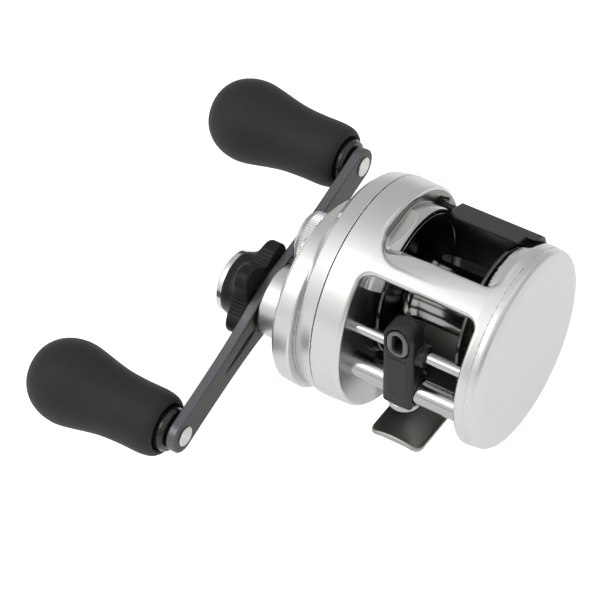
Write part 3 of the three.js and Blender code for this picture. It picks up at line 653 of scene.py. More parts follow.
SHADERS = {
    "frame": frame_metal(),
    "satin": metal("satin_aluminium_plate", rough=0.33, **SATIN),
    "palm": metal("satin_aluminium_palm", rough=0.35, **SATIN),
    "chrome": metal("polished_steel", (0.45, 0.45, 0.445), 0.17, axis=WORM, **POLISHED),
    "chrome_rod": metal("polished_steel_rod", (0.47, 0.47, 0.465), 0.15, axis=ROD, **POLISHED),
    "cap": metal("polished_cap", (0.7, 0.695, 0.68), 0.22, vary=0.03, wear=0.2, axis=DRIVE,
                 grain_depth=6e-7),
    "cast_knob": metal("polished_cast_knob", (0.5, 0.5, 0.51), 0.28, vary=0.05, wear=0.3,
                       axis=SPOOL, grain_depth=5e-7),
    "steel": metal("steel", (0.56, 0.56, 0.56), 0.24, wear=0.3),
    "rivet": metal("rivet_steel", (0.62, 0.615, 0.6), 0.3, wear=0.3, grain_depth=3e-6),
    "brass": metal("brass", (0.68, 0.5, 0.22), 0.26, vary=0.08, wear=0.4,
                   wear_to=(0.9, 0.75, 0.45)),
    "gunmetal": metal("gunmetal_alloy", (0.38, 0.376, 0.36), 0.36, vary=0.28, wear=0.4,
                      wear_to=(0.3, 0.3, 0.29), smudge=0.14, grain_depth=1e-6),
    "gear_plate": metal("gear_plate_metal", (0.3, 0.3, 0.29), 0.3, vary=0.08, wear=0.4),
    "spool": spool_metal(),
    "arm": arm_metal(),
    "rubber": plastic("black_rubber", (0.018, 0.018, 0.0172), 0.6, vary=0.16, grain=5200,
                      grain_depth=3e-5, specular=0.25, wear=0.1),
    "black": plastic("black_plastic", (0.007, 0.007, 0.0066), 0.4, vary=0.2,
                     grain_depth=1e-5, specular=0.22, wear=0.2),
    "guide": plastic("guide_plastic", (0.0105, 0.0105, 0.011), 0.36, vary=0.1,
                     grain_depth=1e-5, specular=0.35),
    "thumb": plastic("satin_black", (0.011, 0.0108, 0.0098), 0.34, vary=0.15,
                     grain_depth=8e-6, specular=0.26, wear=0.2),
    "bushing": plastic("gloss_black", (0.007, 0.007, 0.007), 0.2, vary=0.2,
                       grain_depth=3e-6, specular=0.4, coat=0.2),
    "ceramic": plastic("ceramic_grey", (0.1, 0.1, 0.098), 0.22, vary=0.08,
                       grain_depth=2e-6, specular=0.5, coat=0.2),
    # brake drum: brass coloured near black as painted shade in the gap at the palm end, with
    # brass showing on rubbed edges
    "drum": metal("brass_painted_shade", (0.05, 0.044, 0.033), 0.4, vary=0.12, wear=0.2,
                  wear_to=(0.3, 0.24, 0.14)),
    "white": plastic("white_plastic", (0.72, 0.71, 0.67), 0.4, vary=0.05),
    "felt": plastic("carbon_fibre_washer", (0.05, 0.047, 0.043), 0.75, vary=0.3, grain=2400,
                    grain_depth=8e-5, specular=0.2),
}


def finish(piece, shader, body, node=None):
    """Gives a piece its material, the body it moves with and the CAD node it replaces."""
    piece.data.materials.append(SHADERS[shader].material)
    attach(piece, body)
    if node:
        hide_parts(node)


# ------------------------------------------------------------------ frame
FRAME_ENDS = (-25.6, 18.44)
FRAME_SKIN = ([-25.6, -17.2, 15.3, 18.4], [32.0, 31.7, 28.7, 28.2])    # x, outer radius
OPEN_SPAN = (-17.2, 15.3)    # x between the two end rings
BAR_THICKNESS = 3.0
BORE = 20.75                 # radius about the spool axis
SCOOP_HEADING = heading(98.0)
LUG = (19.2, 18.6)           # (y, z) of the thumb bar's lug
LUG_HEADING = (0.76, -0.6499)


def lug_coords(y, z):
    return turned(y - LUG[0], z - LUG[1], LUG_HEADING)


def frame_shape(x, y, z):
    axis_r = np.hypot(y, z)
    spool_r = reach(y, z, SPOOL)
    skin = np.interp(x, *FRAME_SKIN)
    # 0.995 allows for the slope of the skin
    body = meet((axis_r - skin) * 0.995, slab(x, *FRAME_ENDS), np.where(x < 0, 0.12, 0.02))

    # scooped thumb rest in the top, open to the rear
    up, forward = turned(y, z, SCOOP_HEADING)
    plan = meet(-(x + 16.7), forward - 11.3, 7.0)
    body = cut(body, meet(plan, 28.45 - up, 0.9), 0.8)

    # windows round an upper front bar and a lower rear bar, and the hollow behind the bars
    off_bars = np.maximum(-wedge(y, z, 108.2, 127.2), -wedge(y, z, -34, -12))
    gap = join(off_bars, (axis_r - (skin - BAR_THICKNESS)) * 0.995, 0.6)
    body = cut(body, meet(slab(x, *OPEN_SPAN), gap, 3.1), 1.3)

    # spool bore, shaft hole, and the recesses of the crank and palm ends
    body = cut(body, np.maximum(spool_r - BORE, -18.2 - x), 0.3)
    body = cut(body, spool_r - 4.2, 0.2)
    body = cut(body, np.maximum(axis_r - 30.0, x + 19.2), 0.3)
    body = cut(body, np.maximum(axis_r - 26.0, 17.2 - x), 0.3)

    # bevelled surround of the spool flange
    rim = 23.4
    ledge = np.maximum(slab(spool_r, BORE, rim), x + 12.7)
    ledge = meet(ledge, (spool_r - rim) * 0.8036 + (x + 15.4) * 0.5952, 0.25)
    ledge = np.maximum(np.maximum(ledge, -17.6 - x), wedge(y, z, 42, 148, SPOOL))
    ledge = meet(ledge, reach(y, z, (-2.5, 4.7)) - 25.2, 0.3)
    ledge = np.maximum(ledge, axis_r - (skin - 1.5))
    ledge = np.maximum(ledge, up - 28.3)
    body = join(body, ledge, 0.3)

    # sloping lip of the palm-side ring in the top window
    lip = np.maximum(np.maximum(BORE - spool_r, 12.5 - x), x - 16.2)
    lip_top = np.interp(x, [12.5, 13.6, 15.4, 16.2], [20.95, 21.35, 21.8, 21.95])
    lip = meet(lip, spool_r - lip_top, 0.25)
    lip = np.maximum(lip, wedge(y, z, 66, 114, SPOOL))
    body = join(body, lip, 0.5)

    # bottom bridge for the foot
    bridge = box(y, z, mid_u=1.0, mid_v=-18.7, half_u=13.0, half_v=1.3, radius=0.5)
    body = join(body, meet(bridge, slab(x, -18.0, 16.2), 0.3), 0.5)

    # slot for the thumb bar's lug
    along, across = lug_coords(y, z)
    slot = box(along, across, mid_u=2.0, mid_v=0.0, half_u=3.9, half_v=2.4, radius=0.6)
    return cut(body, np.maximum(slot, slab(x, -21, -17.1)), 0.2)


PLATE_CELL = 0.42
frame_piece = solid("frame_body", frame_shape, (-25.6, -32, -32), (18.44, 32, 32), 0.33)
finish(frame_piece, "frame", "reel_body", "frame")


# ------------------------------------------------------------------ crank-side plate
def crank_plate_shape(x, y, z):
    axis_r = np.hypot(y, z)
    raised_r = reach(y, z, RAISED)
    drive_r = reach(y, z, DRIVE)
    spool_r = reach(y, z, SPOOL)

    # tapered disc, raised cover, and a boss on each of the drive and spool axes;
    # 0.9 and 0.93 allow for the slope of the tapers
    skin = np.interp(x, [-32.5, -30.6, -25.9], [29.1, 31.05, 31.95])
    plate = meet((axis_r - skin) * 0.9, slab(x, -32.5, -25.75), 0.16)
    side = np.interp(x, [-37.6, -36.3, -31.3], [24.9, 26.35, 26.65])
    plate = join(plate, meet((raised_r - side) * 0.93, slab(x, -37.6, -31.3), 0.45), 0.45)
    plate = join(plate, meet(drive_r - 10.4, slab(x, -48.0, -36.0), 0.6), 0.35)
    plate = join(plate, meet(spool_r - 5.6, slab(x, -42.8, -36.0), 0.3), 0.3)

    # hollows of the disc and the cover
    plate = cut(plate, meet(axis_r - 29.9, slab(x, -30.5, -20), 0.4), 0.3)
    hollow = np.maximum(raised_r - 25.1, axis_r - 29.3)
    plate = cut(plate, meet(hollow, slab(x, -36.3, -28), 0.4), 0.3)

    # stepped bores of the bosses
    plate = cut(plate, np.maximum(drive_r - 8.3, slab(x, -46.6, -30)), 0.2)
    plate = cut(plate, drive_r - 5.0, 0.3)
    plate = cut(plate, np.maximum(spool_r - 4.15, slab(x, -41.6, -30)), 0.2)
    return cut(plate, spool_r - 2.2, 0.2)


crank_plate = solid("handle_plate", crank_plate_shape, (-48.0, -34, -32), (-25.9, 32, 32),
                    PLATE_CELL)
finish(crank_plate, "satin", "reel_body", "handle_side_plate")

# small square mark in the step of the crank-side plate
MARK_HEADING = heading(105.3)
MARK_X, MARK_RADIUS = -31.3, 30.33


def mark_shape(x, y, z):
    outward, across = turned(y, z, MARK_HEADING)
    outward = outward - MARK_RADIUS
    depth = -0.716 * (x - MARK_X) + 0.698 * outward
    along = 0.698 * (x - MARK_X) + 0.716 * outward
    square = np.maximum(np.abs(along), np.abs(across))
    return box(depth, square, mid_u=0.0, mid_v=0.0, half_u=0.16, half_v=0.62, radius=0.08)


mark = solid("index_mark", mark_shape, (-32.4, -9.3, 28.2), (-30.2, -6.7, 30.4), 0.09)
finish(mark, "white", "reel_body")


# ------------------------------------------------------------------ palm-side plate
def palm_plate_shape(x, y, z):
    axis_r = np.hypot(y, z)
    spool_r = reach(y, z, SPOOL)
    plate = meet((axis_r - (28.2 - 0.045 * (x - 18.4))), 18.2 - x, 0.02)
    bevel = (x - 20.75) * 0.9285 + (axis_r - 27.95) * 0.3714
    plate = meet(plate, bevel, 0.9)
    # slightly domed outer face, and the hollow behind it
    dome = np.interp(axis_r, [0, 14, 25.0, 28], [22.4, 22.27, 21.95, 21.83])
    plate = meet(plate, x - dome, 0.35)
    plate = cut(plate, np.maximum(axis_r - 24.4, x - 20.3), 0.3)
    # two rings about the spool axis
    for inner, outer in ((18.4, 20.3), (4.2, 6.2)):
        ring = meet(slab(spool_r, inner, outer), slab(x, 16.2, 20.6), 0.25)
        plate = join(plate, ring, 0.3)
    return plate


palm_plate = solid("palm_plate", palm_plate_shape, (16.2, -28.2, -28.2), (22.5, 28.2, 28.2),
                   PLATE_CELL)
finish(palm_plate, "palm", "reel_body", "palm_side_plate")

# ------------------------------------------------------------------ foot and screws
FOOT_X = -2.0
FOOT_HALF_WIDTH = 7.8
FOOT_SCREWS = [("foot_screw_front", -7.0), ("foot_screw_rear", 9.0)]    # CAD node, y
PLATE_SCREWS = [(8.5, 14.8), (12.5, -10.0), (-14.0, 19.5)]              # (y, z)


def foot_shape(x, y, z):
    plan = box(x, y, mid_u=FOOT_X, mid_v=1.3, half_u=FOOT_HALF_WIDTH, half_v=29.7, radius=2.6)
    side = np.abs(x - FOOT_X)
    top = -20.3 - 1.3 * np.clip(side / FOOT_HALF_WIDTH, 0, 1.3) ** 2.0
    t = np.clip((side - 3.4) / 4.0, 0, 1)
    bottom = -22.2 - 0.7 * t * t * (3 - 2 * t)
    # 0.94 allows for the slope of the two faces
    foot = meet(plan, np.maximum((z - top) * 0.94, (bottom - z) * 0.94), 0.55)
    for _, screw_y in FOOT_SCREWS:
        screw_r = np.hypot(x - FOOT_X, y - screw_y)
        foot = cut(foot, np.maximum(screw_r - 2.7, z + 21.2), 0.2)
        foot = cut(foot, screw_r - 1.5, 0.1)
    return foot


foot = solid("foot_saddle", foot_shape, (-9.8, -28.4, -22.9), (5.8, 31, -20.3), 0.36)
finish(foot, "gunmetal", "reel_body", "reel_foot")


def screw(name, node, centre, along_x, head_radius, top, under, tip):
    """Slotted screw along X with a domed head, or along Z with a flat one.

    top, under and tip are the places of the head's two faces and the shank's end.
    """
    def shape(x, y, z):
        if along_x:
            u, v, along = y - centre[0], z - centre[1], x
        else:
            u, v, along = x - centre[0], y - centre[1], z
        radius = np.hypot(u, v)
        head = meet(radius - head_radius, slab(along, top, under), 0.25)
        if along_x:
            head = meet(head, np.hypot(radius, (along - (top + 6.0))) - 6.0, 0.1)
        shank = np.maximum(radius - 1.2, slab(along, under - 0.3, tip))
        slot = np.maximum(np.abs(v) - 0.36, along - (top + 0.5))
        return cut(np.minimum(head, shank), slot, 0.05)

    low = [c - head_radius for c in centre]
    high = [c + head_radius for c in centre]
    low, high = ((top, *low), (tip, *high)) if along_x else ((*low, top), (*high, tip))
    finish(solid(name, shape, low, high, 0.17, relax=1), "steel", "reel_body", node)


for i, (node, screw_y) in enumerate(FOOT_SCREWS, 1):
    screw(f"foot_screw_{i}", node, (FOOT_X, screw_y), along_x=False,
          head_radius=2.4, top=-22.45, under=-21.45, tip=-17.6)
for i, centre in enumerate(PLATE_SCREWS, 1):
    screw(f"plate_screw_{i}", f"side_plate_screw_{i}", centre, along_x=True,
          head_radius=2.6, top=-38.9, under=-37.75, tip=-30.0)

# ------------------------------------------------------------------ level wind
TUBE_RADIUS = 3.4


def tube_shape(x, y, z):
    worm_r = reach(y, z, WORM)
    tube = meet(meet(worm_r - TUBE_RADIUS, slab(x, -17.85, 15.95), 0.2), 2.65 - worm_r, 0.1)
    # slot along the underside
    slot = np.maximum(np.abs(y - WORM[0]) - 1.3, z - (WORM[1] - 1.0))
    return cut(tube, np.maximum(slot, slab(x, -13.6, 11.8)), 0.15)


tube = solid("level_wind_barrel", tube_shape,
             (-17.9, WORM[0] - TUBE_RADIUS, WORM[1] - TUBE_RADIUS),
             (16, WORM[0] + TUBE_RADIUS, WORM[1] + TUBE_RADIUS), 0.3)
finish(tube, "chrome", "reel_body", "level_wind_tube")

ROD_PROFILE = [(0, -18.5), (1.55, -18.5, 0.15), (1.55, 16.5, 0.15), (0, 16.5)]
rod = lathe("level_wind_rod", fillet(ROD_PROFILE), ROD, 64)
finish(rod, "chrome_rod", "reel_body", "guide_rod")

# side outline of the guide block: (y, z)
GUIDE_OUTLINE = [
    (-28, -8.0), (-19.6, -8.0), (-19.5, -0.6), (-21.3, 1.2), (-21.3, 18.6),
    (-22.4, 20), (-25.6, 20), (-27.4, 18.8), (-28, 17.2),
]
GUIDE_HALF_WIDTH = 4.6
ARCH_Z = 15.4    # centre of the rounded top
EYE_Z = 14.25


def guide_shape(x, y, z):
    side = polygon(y, z, GUIDE_OUTLINE)
    arch = np.where(z > ARCH_Z, np.hypot(x - GUIDE_X, z - ARCH_Z) - GUIDE_HALF_WIDTH,
                    np.abs(x - GUIDE_X) - GUIDE_HALF_WIDTH)
    block = meet(side, arch, 1.25)
    # raised tongue on the lower front face
    tongue = np.maximum(stadium(x, z, GUIDE_X, 2.0, half_width=3.0, half_height=8.2), z - 9.0)
    block = join(block, meet(tongue, slab(y, -28.22, -26.0), 0.2), 0.25)
    # collar on the rod, then the rod and tube bores
    rod_r = reach(y, z, ROD)
    block = join(block, meet(rod_r - 3.0, slab(x, 2.0, 5.1), 0.35), 0.4)
    block = cut(block, rod_r - 1.65, 0.1)
    block = cut(block, reach(y, z, WORM) - 3.52, 0.15)
    # seat of the eye, line opening, and the round hole in the underside
    seat = stadium(x, z, GUIDE_X, EYE_Z, half_width=3.45, half_height=4.45)
    block = cut(block, np.maximum(seat, y + 26.9), 0.25)
    opening = stadium(x, z, GUIDE_X, EYE_Z, half_width=1.62, half_height=3.2)
    block = cut(block, opening, 0.25)
    return cut(block, np.maximum(np.hypot(x - GUIDE_X, y - WORM[0]) - 2.4, z + 5.2), 0.1)


guide = solid("guide_block", guide_shape, (-6.1, -28.25, -8), (5.1, -19.5, 20), 0.3)
finish(guide, "guide", "line_guide_carriage", "line_guide")


def eye_shape(x, y, z):
    outer = stadium(x, z, GUIDE_X, EYE_Z, half_width=3.1, half_height=4.1)
    inner = stadium(x, z, GUIDE_X, EYE_Z, half_width=1.6, half_height=3.2)
    return cut(meet(outer, slab(y, -28.3, -27.05), 0.45), inner, 0.42)


eye = solid("guide_eye", eye_shape, (-4.6, -28.3, 10.1), (1.6, -27.05, 18.4), 0.15)
finish(eye, "ceramic", "line_guide_carriage", "guide_insert")

PAWL_CAP_RADIUS = 4.4


def pawl_cap_shape(x, y, z):
    radius = np.hypot(x - GUIDE_X, y - WORM[0])
    cap = meet(radius - PAWL_CAP_RADIUS, slab(z, -10.2, -8.25), 0.45)
    cap = cut(cap, np.maximum(radius - 2.15, slab(z, -9.2, -8)), 0.1)
    # screwdriver slot
    return cut(cap, np.maximum(np.abs(y - WORM[0]) - 0.5, z + 9.75), 0.1)


pawl_cap = solid("pawl_screw_cap", pawl_cap_shape,
                 (-5.9, WORM[0] - PAWL_CAP_RADIUS, -10.2),
                 (2.9, WORM[0] + PAWL_CAP_RADIUS, -8.2), 0.22)
finish(pawl_cap, "chrome", "line_guide_carriage", "pawl_cap")

# ------------------------------------------------------------------ spool
# Profiles are (r, x) or (r, x, corner radius).
CRANK_FLANGE = [
    (2.7, -15.0), (5.2, -15.0, 0.3), (5.2, -13.4, 0.2), (20.2, -13.4, 0.28),
    (20.2, -12.45, 0.28), (19.2, -12.3, 0.15), (18.9, -12.55, 0.15), (17.5, -12.45),
]
ARBOR = [
    (17.5, -12.45), (14.0, -12.1), (11.0, -11.4), (9.2, -10.2), (8.55, -8.4), (8.5, -6.0),
    (8.5, 4.0), (8.55, 6.4), (9.2, 8.2), (11.0, 9.4), (14.0, 10.1), (17.5, 10.45),
]
PALM_FLANGE = [
    (17.5, 10.45), (18.9, 10.55, 0.15), (19.2, 10.3, 0.15), (20.2, 10.45, 0.28),
    (20.2, 11.4, 0.28), (2.7, 11.4),
]
spool_profile = fillet(CRANK_FLANGE) + smooth_curve(ARBOR, 4)[1:] + fillet(PALM_FLANGE)[1:]
spool = lathe("spool_body", spool_profile, SPOOL, 160, closed=True)
finish(spool, "spool", "spool_assembly", "spool")

# ------------------------------------------------------------------ crank arm
ARM_END, ARM_WAIST, ARM_HUB = 5.0, 4.4, 7.4    # half widths
SHOULDER = ARM_HUB * 1.6                       # distance at which the hub meets the limb
SHOULDER_HALF = ARM_HUB * 0.8

# half width against distance from the drive axis: hub curve, then limb curve
span = np.linspace(0, 1, 40)
hub_at = bezier(span, SHOULDER, 0, -SHOULDER)
hub_half = bezier(span, SHOULDER_HALF, ARM_HUB * 1.12, SHOULDER_HALF)
limb_at = bezier(span, ARM_THROW, ARM_THROW * 0.5, SHOULDER)
limb_half = bezier(span, ARM_END, ARM_WAIST, SHOULDER_HALF)
arm_at = np.concatenate([hub_at[hub_at >= 0][::-1], limb_at[::-1][1:]])
arm_half = np.concatenate([hub_half[hub_at >= 0][::-1], limb_half[::-1][1:]])

# leaf-shaped opening in each limb
LEAF_START, LEAF_END = 9.5, 26.0
leaf_at = bezier(span, LEAF_START, 13, LEAF_END)
leaf_half = bezier(span, 0, 2.1, 0.3)


def arm_shape(x, y, z):
    dy, dz = y - DRIVE[0], z - DRIVE[1]
    along, across = turned(dy, dz, ARM_HEADING)
    along = np.abs(along)
    across_size = np.abs(across)
    # 0.97 and 0.95 allow for the slope of the outlines
    outline = np.where(along > ARM_THROW, np.hypot(along - ARM_THROW, across) - ARM_END,
                       (across_size - np.interp(along, arm_at, arm_half)) * 0.97)
    arm = meet(outline, slab(x, ARM_OUTER, ARM_INNER), 0.55)
    leaf = (across_size - np.interp(along, leaf_at, leaf_half)) * 0.95
    arm = cut(arm, np.maximum(leaf, slab(along, 9.6, LEAF_END)), 0.22)
    arm = cut(arm, np.hypot(dy, dz) - 3.12, 0.3)
    for pivot in (PIVOT_A, PIVOT_B):
        arm = cut(arm, reach(y, z, pivot) - 2.0, 0.2)
    return arm


arm = solid("crank_arm", arm_shape, (ARM_OUTER, -63, -25), (ARM_INNER, 37, 15), 0.32, slack=1.3)
finish(arm, "arm", "crank", "handle_arm")

END_CAP_PROFILE = [
    (0, -63.9), (3.0, -63.8), (5.2, -63.6), (7.6, -63.15, 0.3), (8.8, -62.3, 0.5),
    (8.8, -60.85, 0.15), (3.2, -60.85, 0.1), (3.2, -62.2, 0.1), (0, -62.2),
]
end_cap = lathe("crank_end_cap", fillet(END_CAP_PROFILE), DRIVE, 128)
finish(end_cap, "cap", "crank", "handle_end_cap")

# ------------------------------------------------------------------ knobs
# (r, distance out from the arm's inner flat[, corner radius])
GRIP_OUTSIDE = [
    (7.9, 5.8), (8.8, 7.2), (9.3, 10.3), (9.3, 16.3), (9.6, 22.3), (10.3, 26.8), (11.2, 31.1),
    (11.9, 34.9), (12.0, 37.8), (11.4, 41.2), (9.8, 44.6), (7.1, 47.3), (3.6, 48.6), (0, 48.9),
]
GRIP_BORE = [
    (0, 42.5), (2.6, 42.5, 0.2), (2.6, 10.5, 0.2), (6.7, 10.5, 0.3), (6.7, 6.2, 0.35),
    (7.3, 5.75, 0.25), (7.9, 5.8),
]
# the first point is repeated so that the last corner can be rounded
COLLAR = [
    (2.0, 3.3), (4.0, 3.3, 0.1), (5.9, 3.55, 0.3), (6.3, 4.6, 0.2), (6.3, 5.6, 0.2),
    (6.4, 10.2, 0.2), (2.0, 10.2), (2.0, 3.3),
]
POST = [
    (0, -0.5), (2.2, -0.49, 0.1), (2.7, -0.36, 0.15), (2.9, -0.15, 0.05), (1.85, -0.15, 0.05),
    (1.85, 3.0, 0.05), (1.75, 3.0, 0.03), (1.75, 40.0, 0.2), (0, 40.0),
]


def from_arm(profile):
    """Profile with distances from the arm turned into x."""
    return [(r, ARM_INNER - out, *corner) for r, out, *corner in profile]


for tag, pivot in (("a", PIVOT_A), ("b", PIVOT_B)):
    outside = smooth_curve(from_arm(GRIP_OUTSIDE), 6)
    grip = lathe(f"knob_{tag}_rubber", fillet(from_arm(GRIP_BORE)) + outside[1:], pivot, 128)
    finish(grip, "rubber", f"knob_{tag}", f"knob_grip_{tag}")
    collar = lathe(f"knob_{tag}_collar", fillet(from_arm(COLLAR))[:-1], pivot, 96, closed=True)
    finish(collar, "bushing", f"knob_{tag}", f"knob_bushing_{tag}")
    post = lathe(f"knob_{tag}_rivet", fillet(from_arm(POST)), pivot, 64)
    finish(post, "rivet", "crank", f"knob_post_{tag}")

# ------------------------------------------------------------------ star drag knob
# x, radius between the points, radius at the points, strength of the ribs
STAR = [
    (-51.8, 3.2, 3.2, 0), (-51.8, 9.2, 13.7, 0), (-51.92, 9.5, 14.1, 0.1),
    (-52.25, 9.6, 14.35, 0.8), (-52.6, 9.6, 14.4, 1), (-53.2, 9.6, 14.4, 1),
    (-54.2, 9.6, 14.4, 1), (-55.2, 9.6, 14.4, 1), (-55.7, 9.6, 14.25, 1),
    (-56.0, 9.6, 14.0, 1), (-56.2, 9.6, 13.6, 1), (-56.45, 9.6, 12.9, 0.9),
    (-56.8, 9.55, 12.0, 0.7), (-57.3, 9.45, 10.9, 0.2), (-58.0, 9.35, 10.1, 0),
    (-59.0, 9.2, 9.5, 0), (-60.0, 9.05, 9.12, 0), (-60.5, 8.95, 8.95, 0),
    (-60.66, 8.85, 8.85, 0), (-60.7, 8.7, 8.7, 0), (-60.7, 3.2, 3.2, 0),
]
STAR_POINTS = 5
STAR_TURN = math.radians(50)
RIB_WAVES = 42
RIB_DEPTH = 0.36


def star_radius(i, angles):
    _, low, high, rib = STAR[i]
    point = (0.5 + 0.5 * np.cos(STAR_POINTS * (angles - STAR_TURN))) ** 0.85
    # ribs run between the points and fade out towards them
    fade = np.clip((0.66 - point) / 0.12, 0, 1)
    ribs = fade * rib * RIB_DEPTH * (np.abs(np.sin(RIB_WAVES * angles)) ** 0.7 - 1.0)
    return low + (high - low) * point + ribs


star = lathe("star_drag", [(low, x) for x, low, _, _ in STAR], DRIVE, 880, closed=True,
             radius=star_radius)
finish(star, "black", "star_drag", "star_drag_knob")

# ------------------------------------------------------------------ cast control knob
# x, radius, strength of the knurl
CAST = [
    (-47.4, 0.0, 0), (-47.4, 4.6, 0), (-47.44, 4.75, 0), (-47.56, 4.85, 0), (-47.6, 5.0, 0),
    (-47.6, 6.6, 0), (-47.52, 6.95, 0), (-47.3, 7.4, 0), (-47.0, 7.7, 0), (-46.75, 7.75, 0),
    (-46.6, 7.72, 0), (-46.48, 7.5, 0), (-46.35, 7.42, 0), (-46.2, 7.5, 0),
    (-46.05, 7.72, 0.3), (-45.85, 7.83, 1), (-45.0, 7.85, 1), (-44.0, 7.85, 1),
    (-43.0, 7.85, 1), (-42.3, 7.82, 1), (-42.1, 7.7, 0.4), (-41.95, 7.4, 0), (-41.8, 7.2, 0),
    (-38.8, 7.2, 0), (-38.6, 7.05, 0), (-38.6, 5.85, 0), (-43.6, 5.85, 0), (-43.6, 2.2, 0),
    (-45.2, 2.2, 0), (-45.2, 0.0, 0),
]
KNURL_TEETH = 60


def cast_radius(i, angles):
    _, radius, knurl = CAST[i]
    return radius + knurl * (0.17 * np.cos(KNURL_TEETH * angles) - 0.05)


cast = lathe("cast_knob", [(r, x) for x, r, _ in CAST], SPOOL, 672, radius=cast_radius)
finish(cast, "cast_knob", "cast_control", "cast_control_knob")

# ------------------------------------------------------------------ thumb bar
# side outline of the pad: (y, z)
PAD_OUTLINE = [
    (8.72, 26.5), (8.86, 27.33), (17.8, 24.2), (19.6, 22.3), (20.44, 19.29), (20.44, 13.0),
    (8.0, 13.0),
]
THUMB_PALM_END = 14.9


def thumb_shape(x, y, z):
    spool_r = reach(y, z, SPOOL)
    pad = meet(polygon(y, z, PAD_OUTLINE), 21.35 - spool_r, 0.35)
    pad = meet(pad, wedge(y, z, 31.5, 75, SPOOL), 0.3)
    plan = meet(-(x + 9.7), 8.6 - y, 5.2)
    plan = meet(plan, x - THUMB_PALM_END, 0.6)
    pad = meet(pad, plan, 0.5)
    # reliefs at the palm end: the upper part, and the inside of the rest
    upper = np.maximum(12.2 - x, -wedge(y, z, -90, 58, SPOOL))
    pad = cut(pad, meet(upper, 12.2 - x, 0.05), 0.3)
    pad = cut(pad, np.maximum(12.1 - x, spool_r - 22.7), 0.3)
    # curved skirt below the pad
    skirt = meet(slab(spool_r, 21.5, 23.3), wedge(y, z, -18, 37, SPOOL), 0.6)
    skirt = meet(skirt, slab(x, -16.75, THUMB_PALM_END), 0.5)
    # lug that passes through the crank-side wall of the frame
    along, across = lug_coords(y, z)
    lug = box(along, across, mid_u=0.0, mid_v=0.0, half_u=1.5, half_v=2.2, radius=0.3)
    lug = meet(lug, slab(x, -27.9, -15.5), 0.2)
    return join(join(pad, skirt, 0.6), lug, 0.3)


thumb = solid("thumb_paddle", thumb_shape, (-27.9, 8, -2), (THUMB_PALM_END, 27, 29), 0.34)
finish(thumb, "thumb", "thumb_release", "thumb_bar")

# ------------------------------------------------------------------ carried CAD nodes
# Nodes that aren't listed are steel.
CARRIED = {
    "gear_plate": "gear_plate", "worm_gear": "brass", "level_wind_pawl": "brass",
    "brake_hub": "black", "brake_block_1": "white", "brake_block_2": "white",
    "brake_block_3": "white", "brake_block_4": "white", "brake_drum": "drum",
    "pinion_gear": "brass", "level_wind_drive_gear": "black", "drive_gear": "brass",
    "drag_washer": "felt", "cast_control_washer": "brass",
}
for name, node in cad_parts.items():
    node.data.materials.clear()
    node.data.materials.append(SHADERS[CARRIED.get(name, "steel")].material)
    for face in node.data.polygons:
        face.use_smooth = False

# ------------------------------------------------------------------ floor (metres from here on)
FLOOR_HALF, FLOOR_Z = 3.0, -0.065
scene = bpy.context.scene
floor_mesh = bpy.data.meshes.new("floor")
floor_corners = [(x * FLOOR_HALF, y * FLOOR_HALF, FLOOR_Z)
                 for x, y in ((-1, -1), (1, -1), (1, 1), (-1, 1))]
floor_mesh.from_pydata(floor_corners, [], [(0, 1, 2, 3)])
floor = bpy.data.objects.new("floor", floor_mesh)
scene.collection.objects.link(floor)

paper = Shader("floor_paper")
seen_by_camera = paper.node("ShaderNodeLightPath").outputs["Is Camera Ray"]
paper.set(
    Base_Color=paper.mix(paper.noise(6.0, 3.0), (0.88, 0.88, 0.88), (0.91, 0.91, 0.91)),
    Roughness=0.9,
    Normal=paper.bump(paper.noise(900.0, 2.0), 2e-5),
    Emission_Color=(1, 1, 1, 1),
    # glows more to the camera than it lights the reel
    Emission_Strength=paper.mix_value(seen_by_camera, 0.2, 0.5),
    Specular_IOR_Level=0.1,
)
floor_mesh.materials.append(paper.material)

# ------------------------------------------------------------------ world
KEY_DIRECTION = (-0.40, -0.583, 0.708)

world = bpy.data.worlds.new("studio")
scene.world = world
world.use_nodes = True
sky = Graph(world.node_tree)
sky_coords = sky.node("ShaderNodeTexCoord").outputs["Generated"]


def sky_spot(direction, inner, outer):
    """1 within inner degrees of a direction, 0 beyond outer degrees."""
    dot = sky.node("ShaderNodeVectorMath", operation="DOT_PRODUCT")
    sky.put(dot.inputs[0], sky_coords)
    dot.inputs[1].default_value = Vector(direction).normalized()
    return sky.step(dot.outputs["Value"], math.cos(math.radians(outer)),
                    math.cos(math.radians(inner)))


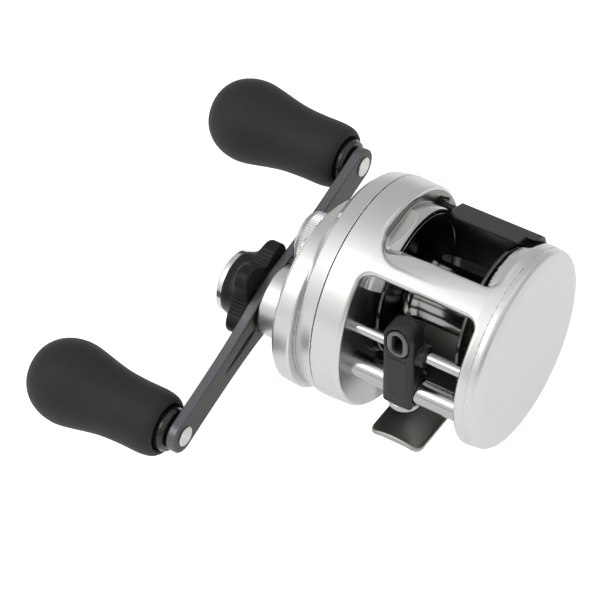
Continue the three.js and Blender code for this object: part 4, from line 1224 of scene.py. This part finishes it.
# even sky, brighter round the key light and overhead, with a dark patch on the palm side
level = sky.add(0.6, sky.mul(sky_spot(KEY_DIRECTION, inner=10, outer=52), 0.7))
level = sky.add(level, sky.mul(sky_spot((0.5, -0.2, 0.85), inner=5, outer=50), 0.25))
dark_patch = sky.mul(sky_spot((0.89, -0.46, 0.05), inner=9, outer=16), 0.95)
level = sky.mul(level, sky.sub(1.0, dark_patch))
background = world.node_tree.nodes["Background"]
sky.put(background.inputs["Strength"], level)
background.inputs["Color"].default_value = (1.0, 0.995, 0.985, 1.0)


# ------------------------------------------------------------------ lights
LIGHT_TARGET = SEAT + Vector((-0.01, -0.01, 0.0))


def disk_light(name, direction, distance, size, power):
    """Disk light that faces the reel from a direction."""
    direction = Vector(direction).normalized()
    light = bpy.data.lights.new(name, "AREA")
    light.shape = "DISK"
    light.size = size
    light.energy = power
    holder = bpy.data.objects.new(name, light)
    scene.collection.objects.link(holder)
    holder.location = LIGHT_TARGET + direction * distance
    holder.rotation_mode = "QUATERNION"
    holder.rotation_quaternion = (-direction).to_track_quat("-Z", "Y")


disk_light("key", KEY_DIRECTION, distance=1.3, size=0.62, power=2.6)
disk_light("top", (0.1, 0.35, 1.0), distance=1.5, size=1.2, power=1.2)

# ------------------------------------------------------------------ camera
CAMERA_PLACE = Vector((0.227059, -0.413956, 0.465935))    # from the body's axis
CAMERA_RIGHT = Vector((0.8391, 0.5437, -0.0147))
CAMERA_BACK = Vector((0.3987, -0.5964, 0.6967))

scene.view_settings.view_transform = "Standard"
scene.view_settings.look = "None"
lens = bpy.data.cameras.new("camera")
lens.lens = 150.0
lens.sensor_width = 36.0
lens.sensor_fit = "HORIZONTAL"
lens.clip_start = 0.01
lens.clip_end = 20.0
camera = bpy.data.objects.new("camera", lens)
scene.collection.objects.link(camera)
back = CAMERA_BACK.normalized()
up = back.cross(CAMERA_RIGHT.normalized()).normalized()
right = up.cross(back).normalized()
pose = Matrix((right, up, back)).transposed().to_4x4()
pose.translation = CAMERA_PLACE + SEAT
camera.matrix_world = pose
scene.camera = camera

bpy.context.view_layer.update()
